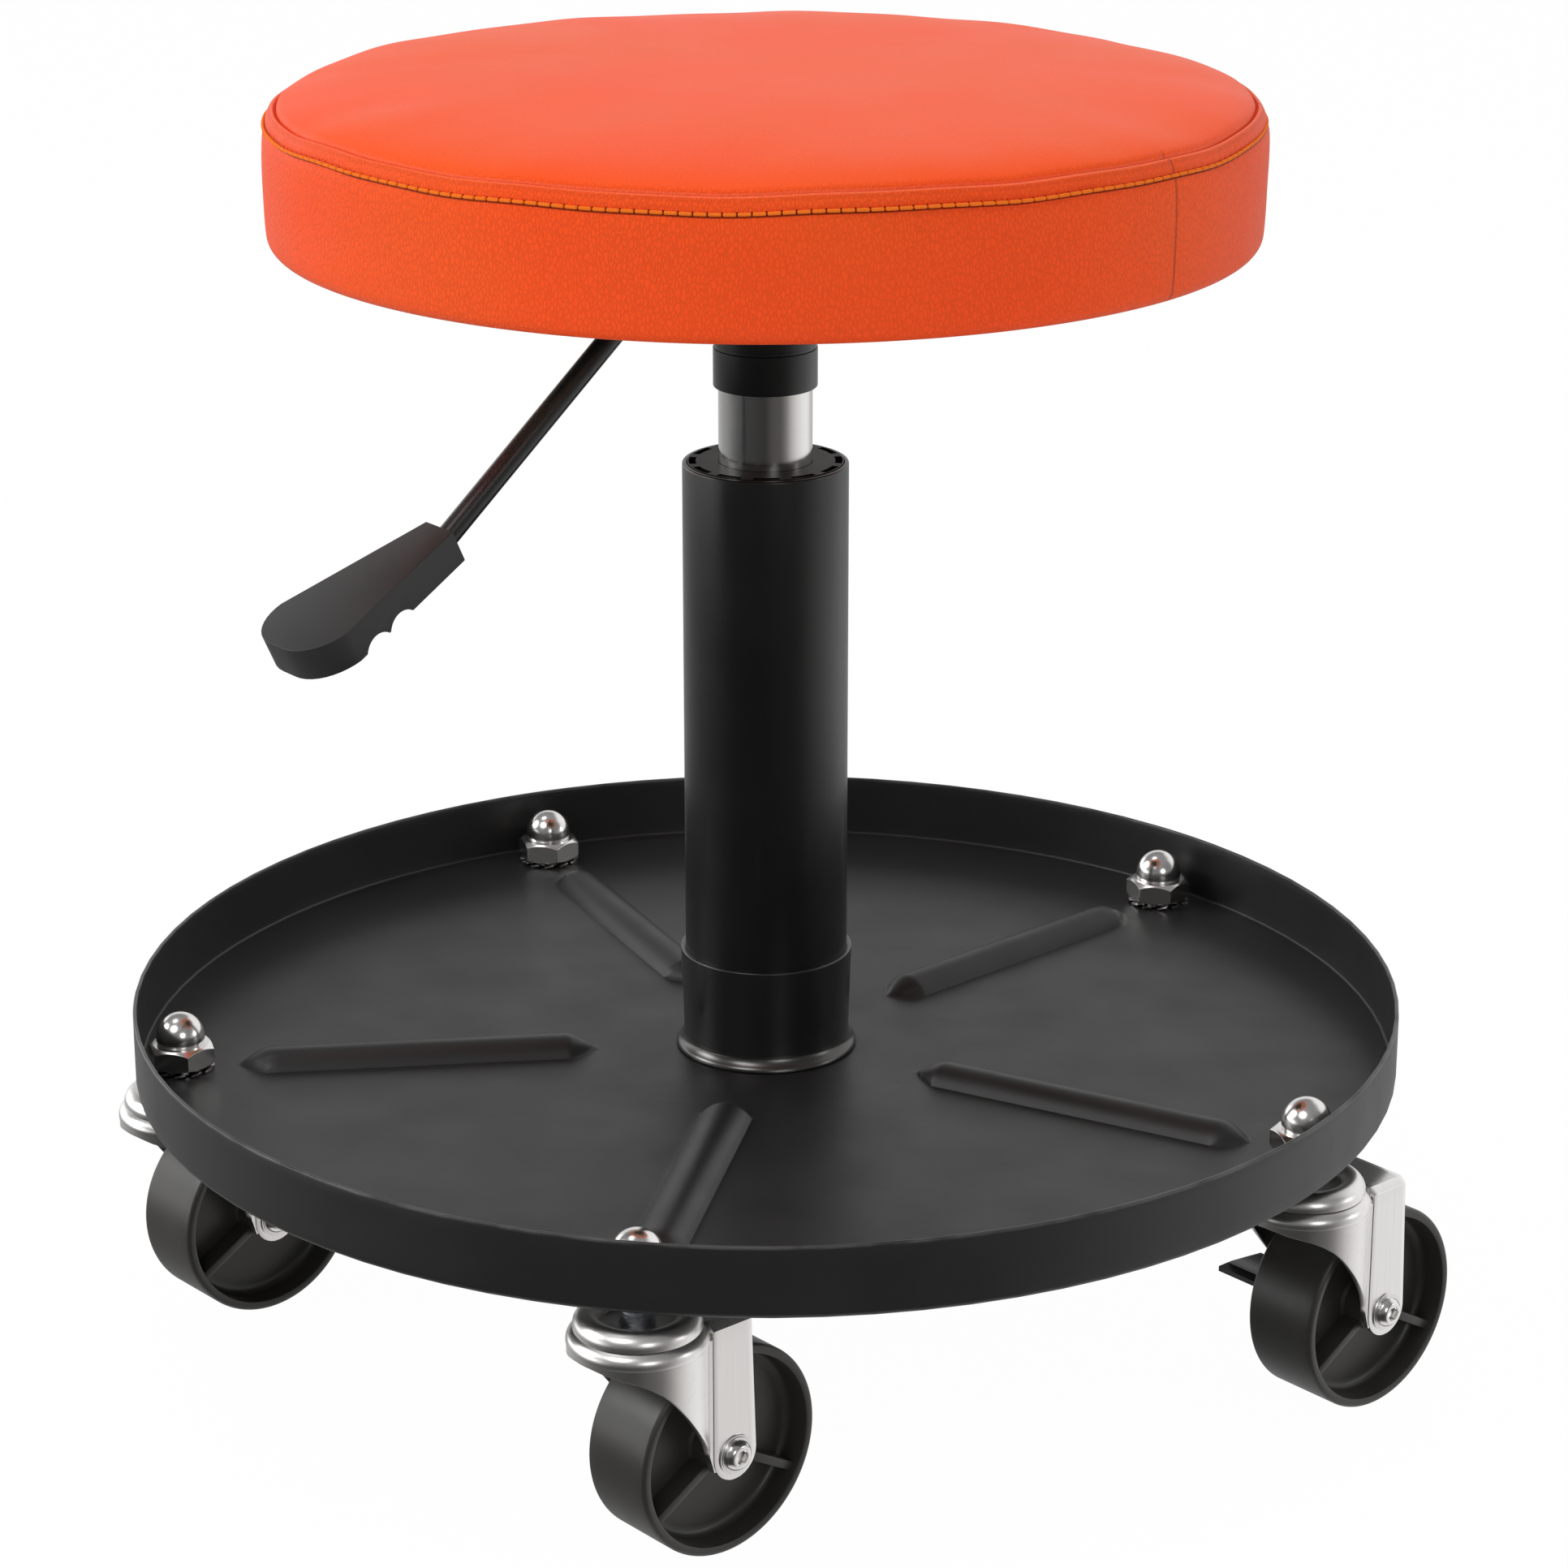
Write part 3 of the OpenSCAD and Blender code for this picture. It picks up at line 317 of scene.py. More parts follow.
    @staticmethod
    def weld(name: str, pieces: Sequence[Piece]) -> Piece:
        """Joins several shells into the first of them.

        Args:
            name: The joined piece's name.
            pieces: The objects to join.

        Returns:
            The joined object.
        """
        Bench.hold(pieces[0])
        for piece in pieces[1:]:
            piece.select_set(True)
        bpy.ops.object.join()
        return Bench.named(name)

    @staticmethod
    def place(piece: Piece, *moves: Matrix) -> Piece:
        """Moves a piece's mesh, and not its object.

        Args:
            piece: The object whose mesh moves.
            moves: Matrices in metres, one after another.

        Returns:
            The same object.
        """
        for move in moves:
            piece.data.transform(move)
        piece.data.update()
        return piece

    @staticmethod
    def copy(piece: Piece, name: str, move: Matrix) -> Piece:
        """Copies a piece with a mesh of its own.

        Args:
            piece: The object to copy.
            name: The copy's name.
            move: Where the copy's mesh goes, in metres.

        Returns:
            The copy.
        """
        Bench.hold(piece)
        bpy.ops.object.duplicate(linked=False)
        return Bench.place(Bench.named(name), move)

    @staticmethod
    def soften(piece: Piece, angle: float) -> None:
        """Shades a piece smooth, except at edges sharper than an angle in degrees."""
        Bench.hold(piece)
        bpy.ops.object.shade_smooth_by_angle(angle=math.radians(angle))


def shifted(x: float = 0.0, y: float = 0.0, z: float = 0.0) -> Matrix:
    """A move by millimetres, as a matrix in metres."""
    return Matrix.Translation(Vector((x, y, z)) * MM)


def turned(degrees: float, axis: str) -> Matrix:
    """A turn about one of the world's axes."""
    return Matrix.Rotation(math.radians(degrees), 4, axis)


def polar(radius: float, degrees: float) -> Pair:
    """The point at a distance from the origin in a direction."""
    turn = math.radians(degrees)
    return (radius * math.cos(turn), radius * math.sin(turn))


def stem_place(number: int) -> Matrix:
    """Where a caster's stem stands, counted from the front one."""
    return shifted(*polar(STEM_CIRCLE_R, FIRST_STEM + 360 // STEMS * number))


def hexagon(across_flats: float) -> list[Pair]:
    """The corners of a hexagon."""
    corner = across_flats / 2 / math.cos(math.radians(30))
    return [polar(corner, 60 * k) for k in range(6)]


def arc(centre: Point, radius: float, begin: float, end: float, steps: int) -> list[Pair]:
    """Points on a circle's arc, both ends among them.

    Args:
        centre: The circle's centre in the plane.
        radius: Its radius.
        begin: First direction in degrees.
        end: Last direction in degrees.
        steps: Number of steps from the first to the last.

    Returns:
        The points.
    """
    spots = [polar(radius, begin + (end - begin) * k / steps) for k in range(steps + 1)]
    return [(centre[0] + x, centre[1] + y) for x, y in spots]


def flowing(points: Sequence[Point], per_span: int = 3) -> list[Pair]:
    """Draws a smooth line through points.

    Args:
        points: The points that the line runs through.
        per_span: Steps between two of them.

    Returns:
        The finer line.
    """
    ends = [points[0], *points, points[-1]]
    line: list[Pair] = []
    for a, b, c, d in zip(ends, ends[1:], ends[2:], ends[3:]):
        for k in range(per_span):
            t = k / per_span
            spot = []
            for n in (0, 1):
                bend = (2 * a[n] - 5 * b[n] + 4 * c[n] - d[n]) * t**2
                twist = (3 * b[n] - a[n] - 3 * c[n] + d[n]) * t**3
                spot.append(0.5 * (2 * b[n] + (c[n] - a[n]) * t + bend + twist))
            line.append(tuple(spot))
    line.append(tuple(points[-1]))
    return line


def clamped(value: float) -> float:
    """A value held between 0 and 1."""
    return max(0.0, min(1.0, value))


def grey(value: float) -> Colour:
    """A grey of one value."""
    return (value, value, value)


# Shader maths


class Wire:
    """An output of a shader node that can be used in sums like a number."""

    def __init__(self, graph: "Graph", socket: bpy.types.NodeSocket) -> None:
        """Keeps the graph and the socket that the wire comes from."""
        self.graph = graph
        self.socket = socket

    def _sum(self, operation: str, first: object, second: object = None) -> "Wire":
        """Adds one Math node and returns its output."""
        return self.graph.node("ShaderNodeMath", {"operation": operation}, {0: first, 1: second})

    def __add__(self, other: object) -> "Wire":
        """Sum with a number or a wire."""
        return self._sum("ADD", self, other)

    __radd__ = __add__

    def __mul__(self, other: object) -> "Wire":
        """Product with a number or a wire."""
        return self._sum("MULTIPLY", self, other)

    __rmul__ = __mul__

    def __sub__(self, other: object) -> "Wire":
        """Difference, the wire first."""
        return self._sum("SUBTRACT", self, other)

    def __rsub__(self, other: object) -> "Wire":
        """Difference, the other value first."""
        return self._sum("SUBTRACT", other, self)

    def __truediv__(self, other: object) -> "Wire":
        """Quotient, the wire first."""
        return self._sum("DIVIDE", self, other)

    def __pow__(self, other: object) -> "Wire":
        """Power, the wire as its base."""
        return self._sum("POWER", self, other)

    def __abs__(self) -> "Wire":
        """Size without its sign."""
        return self._sum("ABSOLUTE", self)

    def apply(self, operation: str, other: object = None) -> "Wire":
        """Any other Math operation on the wire."""
        return self._sum(operation, self, other)

    def between(self, low: float, high: float) -> "Wire":
        """Runs smoothly from 0 at one value to 1 at another."""
        settings = {"interpolation_type": "SMOOTHSTEP"}
        return self.graph.node("ShaderNodeMapRange", settings, {0: self, 1: low, 2: high, 3: 0.0, 4: 1.0})

    def within(self, low: float, high: float) -> "Wire":
        """Runs smoothly from 1 at one value to 0 at another."""
        return 1 - self.between(low, high)

    def swing(self, size: float) -> "Wire":
        """Noise about a half as a swing to both sides of nothing."""
        return (self - 0.5) * size


class Graph:
    """The nodes of one material or world."""

    def __init__(self, tree: bpy.types.NodeTree) -> None:
        """Starts from an empty node tree."""
        self.tree = tree
        self.tree.nodes.clear()

    def node(
        self,
        kind: str,
        settings: Optional[dict] = None,
        links: Optional[dict] = None,
        output: Union[int, str] = 0,
    ) -> Wire:
        """Adds a node.

        Args:
            kind: The node's type.
            settings: Its properties, where stops stands for a ramp's colours.
            links: Values or wires for its inputs, by name or number.
            output: The output that the wire comes from.

        Returns:
            A wire from that output.
        """
        node = self.tree.nodes.new(kind)
        for key, value in (settings or {}).items():
            if key == "stops":
                ramp = node.color_ramp
                while len(ramp.elements) < len(value):
                    ramp.elements.new(0.5)
                for element, (place, colour) in zip(ramp.elements, value):
                    element.position = place
                    element.color = (*colour, 1.0)
            else:
                setattr(node, key, value)
        for key, value in (links or {}).items():
            if isinstance(value, Wire):
                self.tree.links.new(value.socket, node.inputs[key])
            elif value is not None:
                node.inputs[key].default_value = value
        return Wire(self, node.outputs[output])

    def place(self) -> Wire:
        """The object's own coordinates, in metres."""
        return self.node("ShaderNodeTexCoord", output="Object")

    def axes(self, vector: Optional[Wire] = None) -> tuple[Wire, Wire, Wire]:
        """The three parts of a vector, or of the object's coordinates."""
        node = self.node("ShaderNodeSeparateXYZ", links={0: vector or self.place()}).socket.node
        return tuple(Wire(self, node.outputs[k]) for k in range(3))

    def rays(self, *kinds: str) -> tuple[Wire, ...]:
        """Whether the light's path is of each of some kinds."""
        node = self.node("ShaderNodeLightPath").socket.node
        return tuple(Wire(self, node.outputs[f"Is {kind} Ray"]) for kind in kinds)

    def stretched(self, scale: Point, place: Optional[Wire] = None) -> Wire:
        """The object's coordinates, or others, scaled along each axis."""
        return self.node("ShaderNodeMapping", links={"Vector": place or self.place(), "Scale": scale})

    def noise(self, scale: float, detail: float = 2.0, vector: Optional[Wire] = None) -> Wire:
        """Cloudy noise, with its scale per metre."""
        links = {"Vector": vector or self.place(), "Scale": scale, "Detail": detail}
        return self.node("ShaderNodeTexNoise", links=links)

    def cells(self, feature: str, scale: float, vector: Optional[Wire] = None) -> Wire:
        """Cells of one feature, with their scale per metre."""
        links = {"Vector": vector or self.place(), "Scale": scale}
        return self.node("ShaderNodeTexVoronoi", {"feature": feature}, links)

    def mix(self, share: object, first: object, second: object) -> Wire:
        """Mixes two colours."""
        first, second = ((*c, 1.0) if isinstance(c, tuple) else c for c in (first, second))
        return self.node("ShaderNodeMix", {"data_type": "RGBA"}, {0: share, 6: first, 7: second}, output=2)

    def bump(self, height: Wire, distance: float) -> Wire:
        """A bumped normal from a height that is counted in millimetres of distance."""
        links = {"Height": height, "Distance": distance * MM, "Strength": 1.0}
        return self.node("ShaderNodeBump", links=links)

    def surface(self, **inputs: object) -> None:
        """Ends a material in one Principled shader.

        Args:
            inputs: Values or wires by input name, with underscores for spaces.
        """
        links = {key.replace("_", " "): value for key, value in inputs.items()}
        self.end("Material", self.node("ShaderNodeBsdfPrincipled", links=links))

    def end(self, kind: str, shader: Wire) -> None:
        """Links a shader to the output of a material or world."""
        output = self.tree.nodes.new("ShaderNodeOutput" + kind)
        self.tree.links.new(shader.socket, output.inputs["Surface"])


# Finishes


@dataclass(frozen=True)
class Finish:
    """What all finishes share: a name and a base colour in linear values."""

    name: str
    colour: Colour

    def material(self) -> bpy.types.Material:
        """Makes the finish's material on first use.

        Returns:
            The material of this name.
        """
        known = bpy.data.materials.get("finish_" + self.name)
        if known is not None:
            return known
        made = bpy.data.materials.new("finish_" + self.name)
        made.use_nodes = True
        made.diffuse_color = (*self.colour, 1.0)
        self.draw(Graph(made.node_tree))
        return made

    def shade(self, share: float) -> Colour:
        """The base colour made lighter or darker."""
        return tuple(min(1.0, c * share) for c in self.colour)

    def draw(self, graph: Graph) -> None:
        """Draws the finish's nodes in an empty graph."""
        raise NotImplementedError


@dataclass(frozen=True)
class Paint(Finish):
    """Sprayed or baked paint on steel, with orange peel, faint clouds, and a top edge lightened partly as
    wear and partly as a painted highlight.
    """

    roughness: float = 0.35
    level: float = 0.5
    peel: float = 0.012
    grit: float = 0.0
    coat: float = 0.0
    wear_and_highlight_above: float = 0.0
    cloud_scale: float = 14.0
    speck_scale: float = 2600.0
    smudge_scale: float = 45.0
    wear_and_highlight_scale: float = 70.0
    peel_scale: float = 380.0
    grit_scale: float = 1400.0

    def draw(self, graph: Graph) -> None:
        """Draws clouds and specks of colour, a top edge lightened partly as wear and partly as a painted
        highlight, and orange peel.

        Args:
            graph: The material's nodes.
        """
        clouds = graph.noise(self.cloud_scale, 3.0)
        specks = graph.noise(self.speck_scale, 1.0)
        colour = graph.mix(clouds.between(0.3, 0.75), self.shade(0.86), self.shade(1.2))
        colour = graph.mix(specks.between(0.62, 0.75) * 0.35, colour, self.shade(2.2))
        rough = self.roughness + graph.noise(self.smudge_scale, 4.0).swing(0.16) + specks.swing(0.06)
        # Partly painted highlight: a band just under the given height is lightened towards grey and made
        # smoother, as worn edge and as the bright line along the rim's top.
        if self.wear_and_highlight_above:
            height = graph.axes()[2]
            wear_and_highlight = height.between(self.wear_and_highlight_above * MM - 0.0005, self.wear_and_highlight_above * MM)
            wear_and_highlight = wear_and_highlight * graph.noise(self.wear_and_highlight_scale, 4.0).between(0.25, 0.6)
            colour = graph.mix(wear_and_highlight * 0.4, colour, grey(0.12))
            rough = rough - wear_and_highlight * 0.08
        peel = graph.noise(self.peel_scale) * 0.7 + graph.noise(self.grit_scale) * self.grit
        graph.surface(
            Base_Color=colour,
            Roughness=rough,
            Specular_IOR_Level=self.level,
            Coat_Weight=self.coat,
            Coat_Roughness=0.12,
            Normal=graph.bump(peel, self.peel),
        )


class Lay(Enum):
    """The direction in which a metal was brushed or drawn."""

    NONE = (1.0, 1.0, 1.0)
    UPRIGHT = (1.0, 1.0, 0.03)
    LEVEL = (0.03, 0.03, 1.0)


@dataclass(frozen=True)
class Metal(Finish):
    """Plated or polished metal, with fine marks, smudges and a faint tarnish."""

    roughness: float = 0.15
    lay: Lay = Lay.NONE
    marks: float = 0.05
    mark_scale: float = 900.0
    tarnish: float = 0.25
    relief: float = 0.002
    smudge_scale: float = 38.0
    stain_scale: float = 9.0

    def draw(self, graph: Graph) -> None:
        """Draws hairlines along the lay, smudges and stains.

        Args:
            graph: The material's nodes.
        """
        hairs = graph.noise(self.mark_scale, 3.0, graph.stretched(self.lay.value))
        smudge = graph.noise(self.smudge_scale, 4.0)
        stain = graph.noise(self.stain_scale).between(0.35, 0.8)
        colour = graph.mix(stain * self.tarnish, self.colour, self.shade(0.62))
        colour = graph.mix(hairs.between(0.45, 0.9) * 0.2, colour, self.shade(0.7))
        rough = self.roughness + smudge.swing(self.roughness) * 0.7 + hairs.swing(self.marks)
        normal = graph.bump(hairs, self.relief)
        graph.surface(Base_Color=colour, Metallic=1.0, Roughness=rough, Normal=normal)


@dataclass(frozen=True)
class Plastic(Finish):
    """Moulded plastic or rubber, with the fine texture of its mould and rubbed patches."""

    roughness: float = 0.45
    level: float = 0.5
    texture: float = 0.015
    texture_scale: float = 1500.0
    rubbed: float = 0.1
    flow_scale: float = 22.0
    dust_scale: float = 160.0
    ripple_scale: float = 300.0

    def draw(self, graph: Graph) -> None:
        """Draws the mould's texture, flow clouds and dust.

        Args:
            graph: The material's nodes.
        """
        cells = graph.cells("SMOOTH_F1", self.texture_scale)
        flow = graph.noise(self.flow_scale, 3.0)
        dust = graph.noise(self.dust_scale, 5.0)
        colour = graph.mix(flow.between(0.3, 0.75), self.shade(0.82), self.shade(1.22))
        colour = graph.mix(dust.between(0.55, 0.85) * 0.25, colour, self.shade(1.9))
        graph.surface(
            Base_Color=colour,
            Roughness=self.roughness + flow.swing(self.rubbed) + dust.swing(0.08),
            Specular_IOR_Level=self.level,
            Normal=graph.bump(cells + graph.noise(self.ripple_scale) * 0.5, self.texture),
        )


@dataclass(frozen=True)
class Vinyl(Finish):
    """Grained upholstery vinyl, with puckers along its stitched line and one upright seam, painted shade in
    its creases, a painted highlight on its ridge and a painted shadow under its stitches.
    """

    stitch_z: float = SEAT_Z + SEAM_UP
    groove_z: float = 379.0
    ridge_z: float = 380.1
    stitch_shadow_drop: float = 0.72
    outer_r: float = 146.0
    seam_azimuth: float = -29.0
    grain: float = 0.12
    grain_scale: float = 900.0
    drift_scale: float = 500.0
    drift: float = 0.0009
    pore_scale: float = 2400.0
    patch_scale: float = 30.0
    crease_scale: float = 60.0
    tint_scale: float = 10.0
    smudge_scale: float = 25.0
    tint: Pair = (1.05, 0.82)
    ridge_highlight_colour: Colour = (1.0, 0.3, 0.17)

    def draw(self, graph: Graph) -> None:
        """Draws the grain, the puckers along the seam and the upright seam, with painted shade in the
        creases, a painted highlight on the ridge and a painted shadow under the stitches.

        Args:
            graph: The material's nodes.
        """
        x, y, z = graph.axes()
        radius = (x * x + y * y).apply("SQRT") / MM
        turn = y.apply("ARCTAN2", x)
        side = radius.between(PANEL_R - 3.0, PANEL_R + 0.5)
        pebbles = self._grain(graph).between(0.0, 0.2)
        pores = graph.noise(self.pore_scale)
        amount = (0.34 + side * 0.66) * (0.7 + graph.noise(self.patch_scale) * 0.6)

        sway = sum((turn * n + late).apply("SINE") * size for size, n, late in SEAM_WAVES)
        height = z / MM - sway
        off = abs(height - self.stitch_z)
        near = off.within(0.3, 3.2) * side
        pucker = 0.5 - (turn * STITCHES).apply("COSINE") * 0.5
        along = abs(turn - math.radians(self.seam_azimuth)) * self.outer_r
        seam = along.within(0.15, 0.75) * side
        creases = graph.noise(self.crease_scale, 3.0, graph.stretched((1.0, 1.0, 0.25)))
        lift = (pebbles * 0.8 + pores * 0.35) * amount - near * (0.9 + pucker * 1.1) - seam * 2.6
        lift = lift + creases.between(0.35, 0.75) * side * 0.5

        red, rest = self.tint
        bright = (min(1.0, self.colour[0] * red), self.colour[1] * rest, self.colour[2] * rest)
        tone = graph.mix(graph.noise(self.tint_scale).between(0.3, 0.7), self.colour, bright)
        tone = graph.mix((1 - pebbles) * amount * 0.28, tone, self.shade(0.55))
        # Painted shade: the colour is darkened in the upright seam's crease, in the groove round the panel
        # and along the puckered stitched line.
        groove_shade = abs(height - self.groove_z).within(0.2, 0.9) * side
        shade = (seam * 0.5).apply("MAXIMUM", groove_shade * 0.16).apply("MAXIMUM", near * 0.06)
        tone = graph.mix(shade, tone, self.shade(0.28))
        # Painted highlight: a lighter pink line on the ridge above the groove and on the panel's lower
        # shoulder.
        ridge = abs(height - self.ridge_z).within(0.15, 0.6) * side
        tone = graph.mix(ridge * 0.3, tone, self.ridge_highlight_colour)
        # Painted shadow: a thin dark line just under the stitched line.
        under = abs(height - self.stitch_z + self.stitch_shadow_drop).within(0.12, 0.4) * side
        tone = graph.mix(under * 0.8, tone, self.shade(0.1))
        # Painted shade: the needle holes between the stitches are darkened.
        hole_shade = (pucker**24) * off.within(0.5, 0.8) * side
        tone = graph.mix(hole_shade, tone, self.shade(0.05))
        rough = 0.44 + side * 0.02 + pores.swing(0.1) + graph.noise(self.smudge_scale, 3.0).swing(0.14)
        graph.surface(
            Base_Color=tone,
            Roughness=rough,
            Specular_IOR_Level=0.12,
            Sheen_Weight=0.04,
            Sheen_Roughness=0.4,
            Normal=graph.bump(lift, self.grain),
        )

    def _grain(self, graph: Graph) -> Wire:
        """Cells drawn out up the band, which wander a little so as not to look regular.

        Args:
            graph: The material's nodes.

        Returns:
            The distance to the nearest edge between cells.
        """
        links = {"Vector": graph.place(), "Scale": self.drift_scale}
        cloud = graph.node("ShaderNodeTexNoise", links=links, output="Color")
        links = {0: cloud, "Scale": self.drift}
        drift = graph.node("ShaderNodeVectorMath", {"operation": "SCALE"}, links)
        place = graph.node("ShaderNodeVectorMath", {"operation": "ADD"}, {0: graph.place(), 1: drift})
        return graph.cells("DISTANCE_TO_EDGE", self.grain_scale, graph.stretched((1.0, 1.0, 0.5), place))


@dataclass(frozen=True)
class Thread(Finish):
    """Twisted sewing thread."""

    twist: float = 7.5
    ring_r: float = 146.0
    fuzz_scale: float = 3000.0

    def draw(self, graph: Graph) -> None:
        """Draws twisted strands and fuzz.

        Args:
            graph: The material's nodes.
        """
        x, y, z = graph.axes()
        turn = y.apply("ARCTAN2", x) * self.ring_r + z / MM * 0.8
        strand = (turn * self.twist).apply("SINE") * 0.5 + 0.5
        fuzz = graph.noise(self.fuzz_scale)
        graph.surface(
            Base_Color=graph.mix(strand * 0.5 + fuzz * 0.3, self.shade(0.8), self.shade(1.08)),
            Roughness=0.6 + fuzz * 0.15,
            Specular_IOR_Level=0.2,
            Normal=graph.bump(strand + fuzz * 0.4, 0.12),
        )


@dataclass(frozen=True)
class Plywood(Finish):
    """Plywood, with grain on its faces and plies on its edge."""

    ply: float = 1.7
    ring_scale: float = 16.0
    ring_count: float = 22.0
    fibre_scale: float = 420.0

    def draw(self, graph: Graph) -> None:
        """Draws year rings and fibres on the faces and plies on the edge.

        Args:
            graph: The material's nodes.
        """
        height = graph.axes()[2] / MM
        facing = graph.node("ShaderNodeNewGeometry", output="Normal")
        flat = abs(graph.axes(facing)[2]).between(0.4, 0.8)
        rings = graph.noise(self.ring_scale, 4.0, graph.stretched((0.18, 1.6, 1.0)))
        lines = (rings * self.ring_count).apply("FRACT")
        fibres = graph.noise(self.fibre_scale, 3.0, graph.stretched((0.06, 1.0, 1.0)))
        plies = (height / self.ply).apply("FRACT").between(0.42, 0.58)
        face = graph.mix(lines * 0.5 + fibres * 0.4, self.colour, self.shade(0.6))
        edge = graph.mix(plies, self.shade(0.85), self.shade(0.38))
        normal = graph.bump(fibres * 0.7 + lines * 0.2, 0.06)
        rough = 0.62 + fibres * 0.2
        graph.surface(Base_Color=graph.mix(flat, edge, face), Roughness=rough, Normal=normal)


BRIGHT = {"marks": 0.02, "mark_scale": 500.0, "tarnish": 0.15, "relief": 0.0003}


@dataclass(frozen=True)
class Finishes:
    """The stool's finishes, one for each material of the real one."""

    vinyl: Finish = Vinyl("orange_vinyl", (0.86, 0.094, 0.014))
    thread: Finish = Thread("seat_thread", (0.92, 0.19, 0.012))
    plywood: Finish = Plywood("birch_plywood", (0.56, 0.37, 0.19))
    # The tray's rim top is lightened, partly as wear and partly as a painted highlight.
    tray: Finish = Paint(
        "tray_powder_coat", (0.012, 0.012, 0.0122), 0.42, 0.52, peel=0.02, grit=0.5, wear_and_highlight_above=104.4
    )
    tube: Finish = Paint("column_paint", (0.005, 0.005, 0.0052), 0.34, 0.52, 0.008, grit=0.2, coat=0.1)
    gloss: Finish = Paint("socket_gloss_paint", (0.008, 0.008, 0.0085), 0.32, 0.55, 0.006, coat=0.2)
    brake: Finish = Paint("brake_paint", (0.045, 0.045, 0.047), 0.32, 0.6, 0.02, grit=0.4)
    grip: Finish = Plastic("grip_plastic", (0.021, 0.021, 0.021), 0.5, 0.45, 0.02, 1800.0)
    bushing: Finish = Plastic("bushing_plastic", (0.006, 0.006, 0.0064), 0.42, 0.1, 0.006)
    wheel: Finish = Plastic("wheel_plastic", (0.027, 0.0255, 0.0235), 0.38, 0.5, 0.008, 1200.0)
    rubber: Finish = Plastic("buffer_rubber", (0.02, 0.02, 0.02), 0.7, 0.3, 0.03, 900.0)
    chrome: Finish = Metal("cylinder_chrome", (0.80, 0.79, 0.78), 0.17, Lay.LEVEL, 0.04)
    nickel: Finish = Metal("bright_nickel", (0.86, 0.845, 0.83), 0.22, **BRIGHT)
    pressed: Finish = Metal("pressed_nickel", (0.86, 0.845, 0.83), 0.32, **BRIGHT)
    strap: Finish = Metal("brushed_nickel", (0.88, 0.868, 0.858), 0.24, Lay.UPRIGHT, 0.06, 1400.0, 0.1)
    foot: Finish = Metal("foot_dark_nickel", (0.1, 0.098, 0.096), 0.26, Lay.LEVEL, 0.06)
    zinc: Finish = Metal("zinc_steel", (0.62, 0.63, 0.66), 0.34, Lay.NONE, 0.08, 400.0, tarnish=0.5)
    alloy: Finish = Metal("light_alloy", (0.74, 0.74, 0.75), 0.3, Lay.LEVEL, 0.1)


FINISH = Finishes()


def home(node: str) -> str:
    """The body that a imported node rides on."""
    bodies = frame["record"]["behaviour"]["bodies"]
    return next(body for body, nodes in bodies.items() if node in nodes)


def dress(
    piece: Piece,
    finish: Finish,
    stands_for: Sequence[str] = (),
    body: str = "",
    angle: float = 32.0,
) -> None:
    """Shades a piece, gives it its finish and hangs it on its body.

    Args:
        piece: The finished mesh.
        finish: Its finish, where it has none yet.
        stands_for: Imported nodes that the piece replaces.
        body: The body that it rides on, or else that of the first node it replaces.
        angle: Edges sharper than this many degrees stay crisp.
    """
    Bench.soften(piece, angle)
    if not piece.data.materials:
        piece.data.materials.append(finish.material())
    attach(piece, body or home(stands_for[0]))
    if stands_for:
        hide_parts(*stands_for)
    log.info("%s: %d faces", piece.name, len(piece.data.polygons))


def paint_faces(piece: Piece, finishes: Sequence[Finish], choose: Callable[[Vector], int]) -> None:
    """Gives each face one of several finishes.

    Args:
        piece: The mesh.
        finishes: The finishes in slot order.
        choose: Gives the number of the finish from a face's centre in millimetres.
    """
    for finish in finishes:
        piece.data.materials.append(finish.material())
    for face in piece.data.polygons:
        face.material_index = choose(face.center / MM)


# Seat


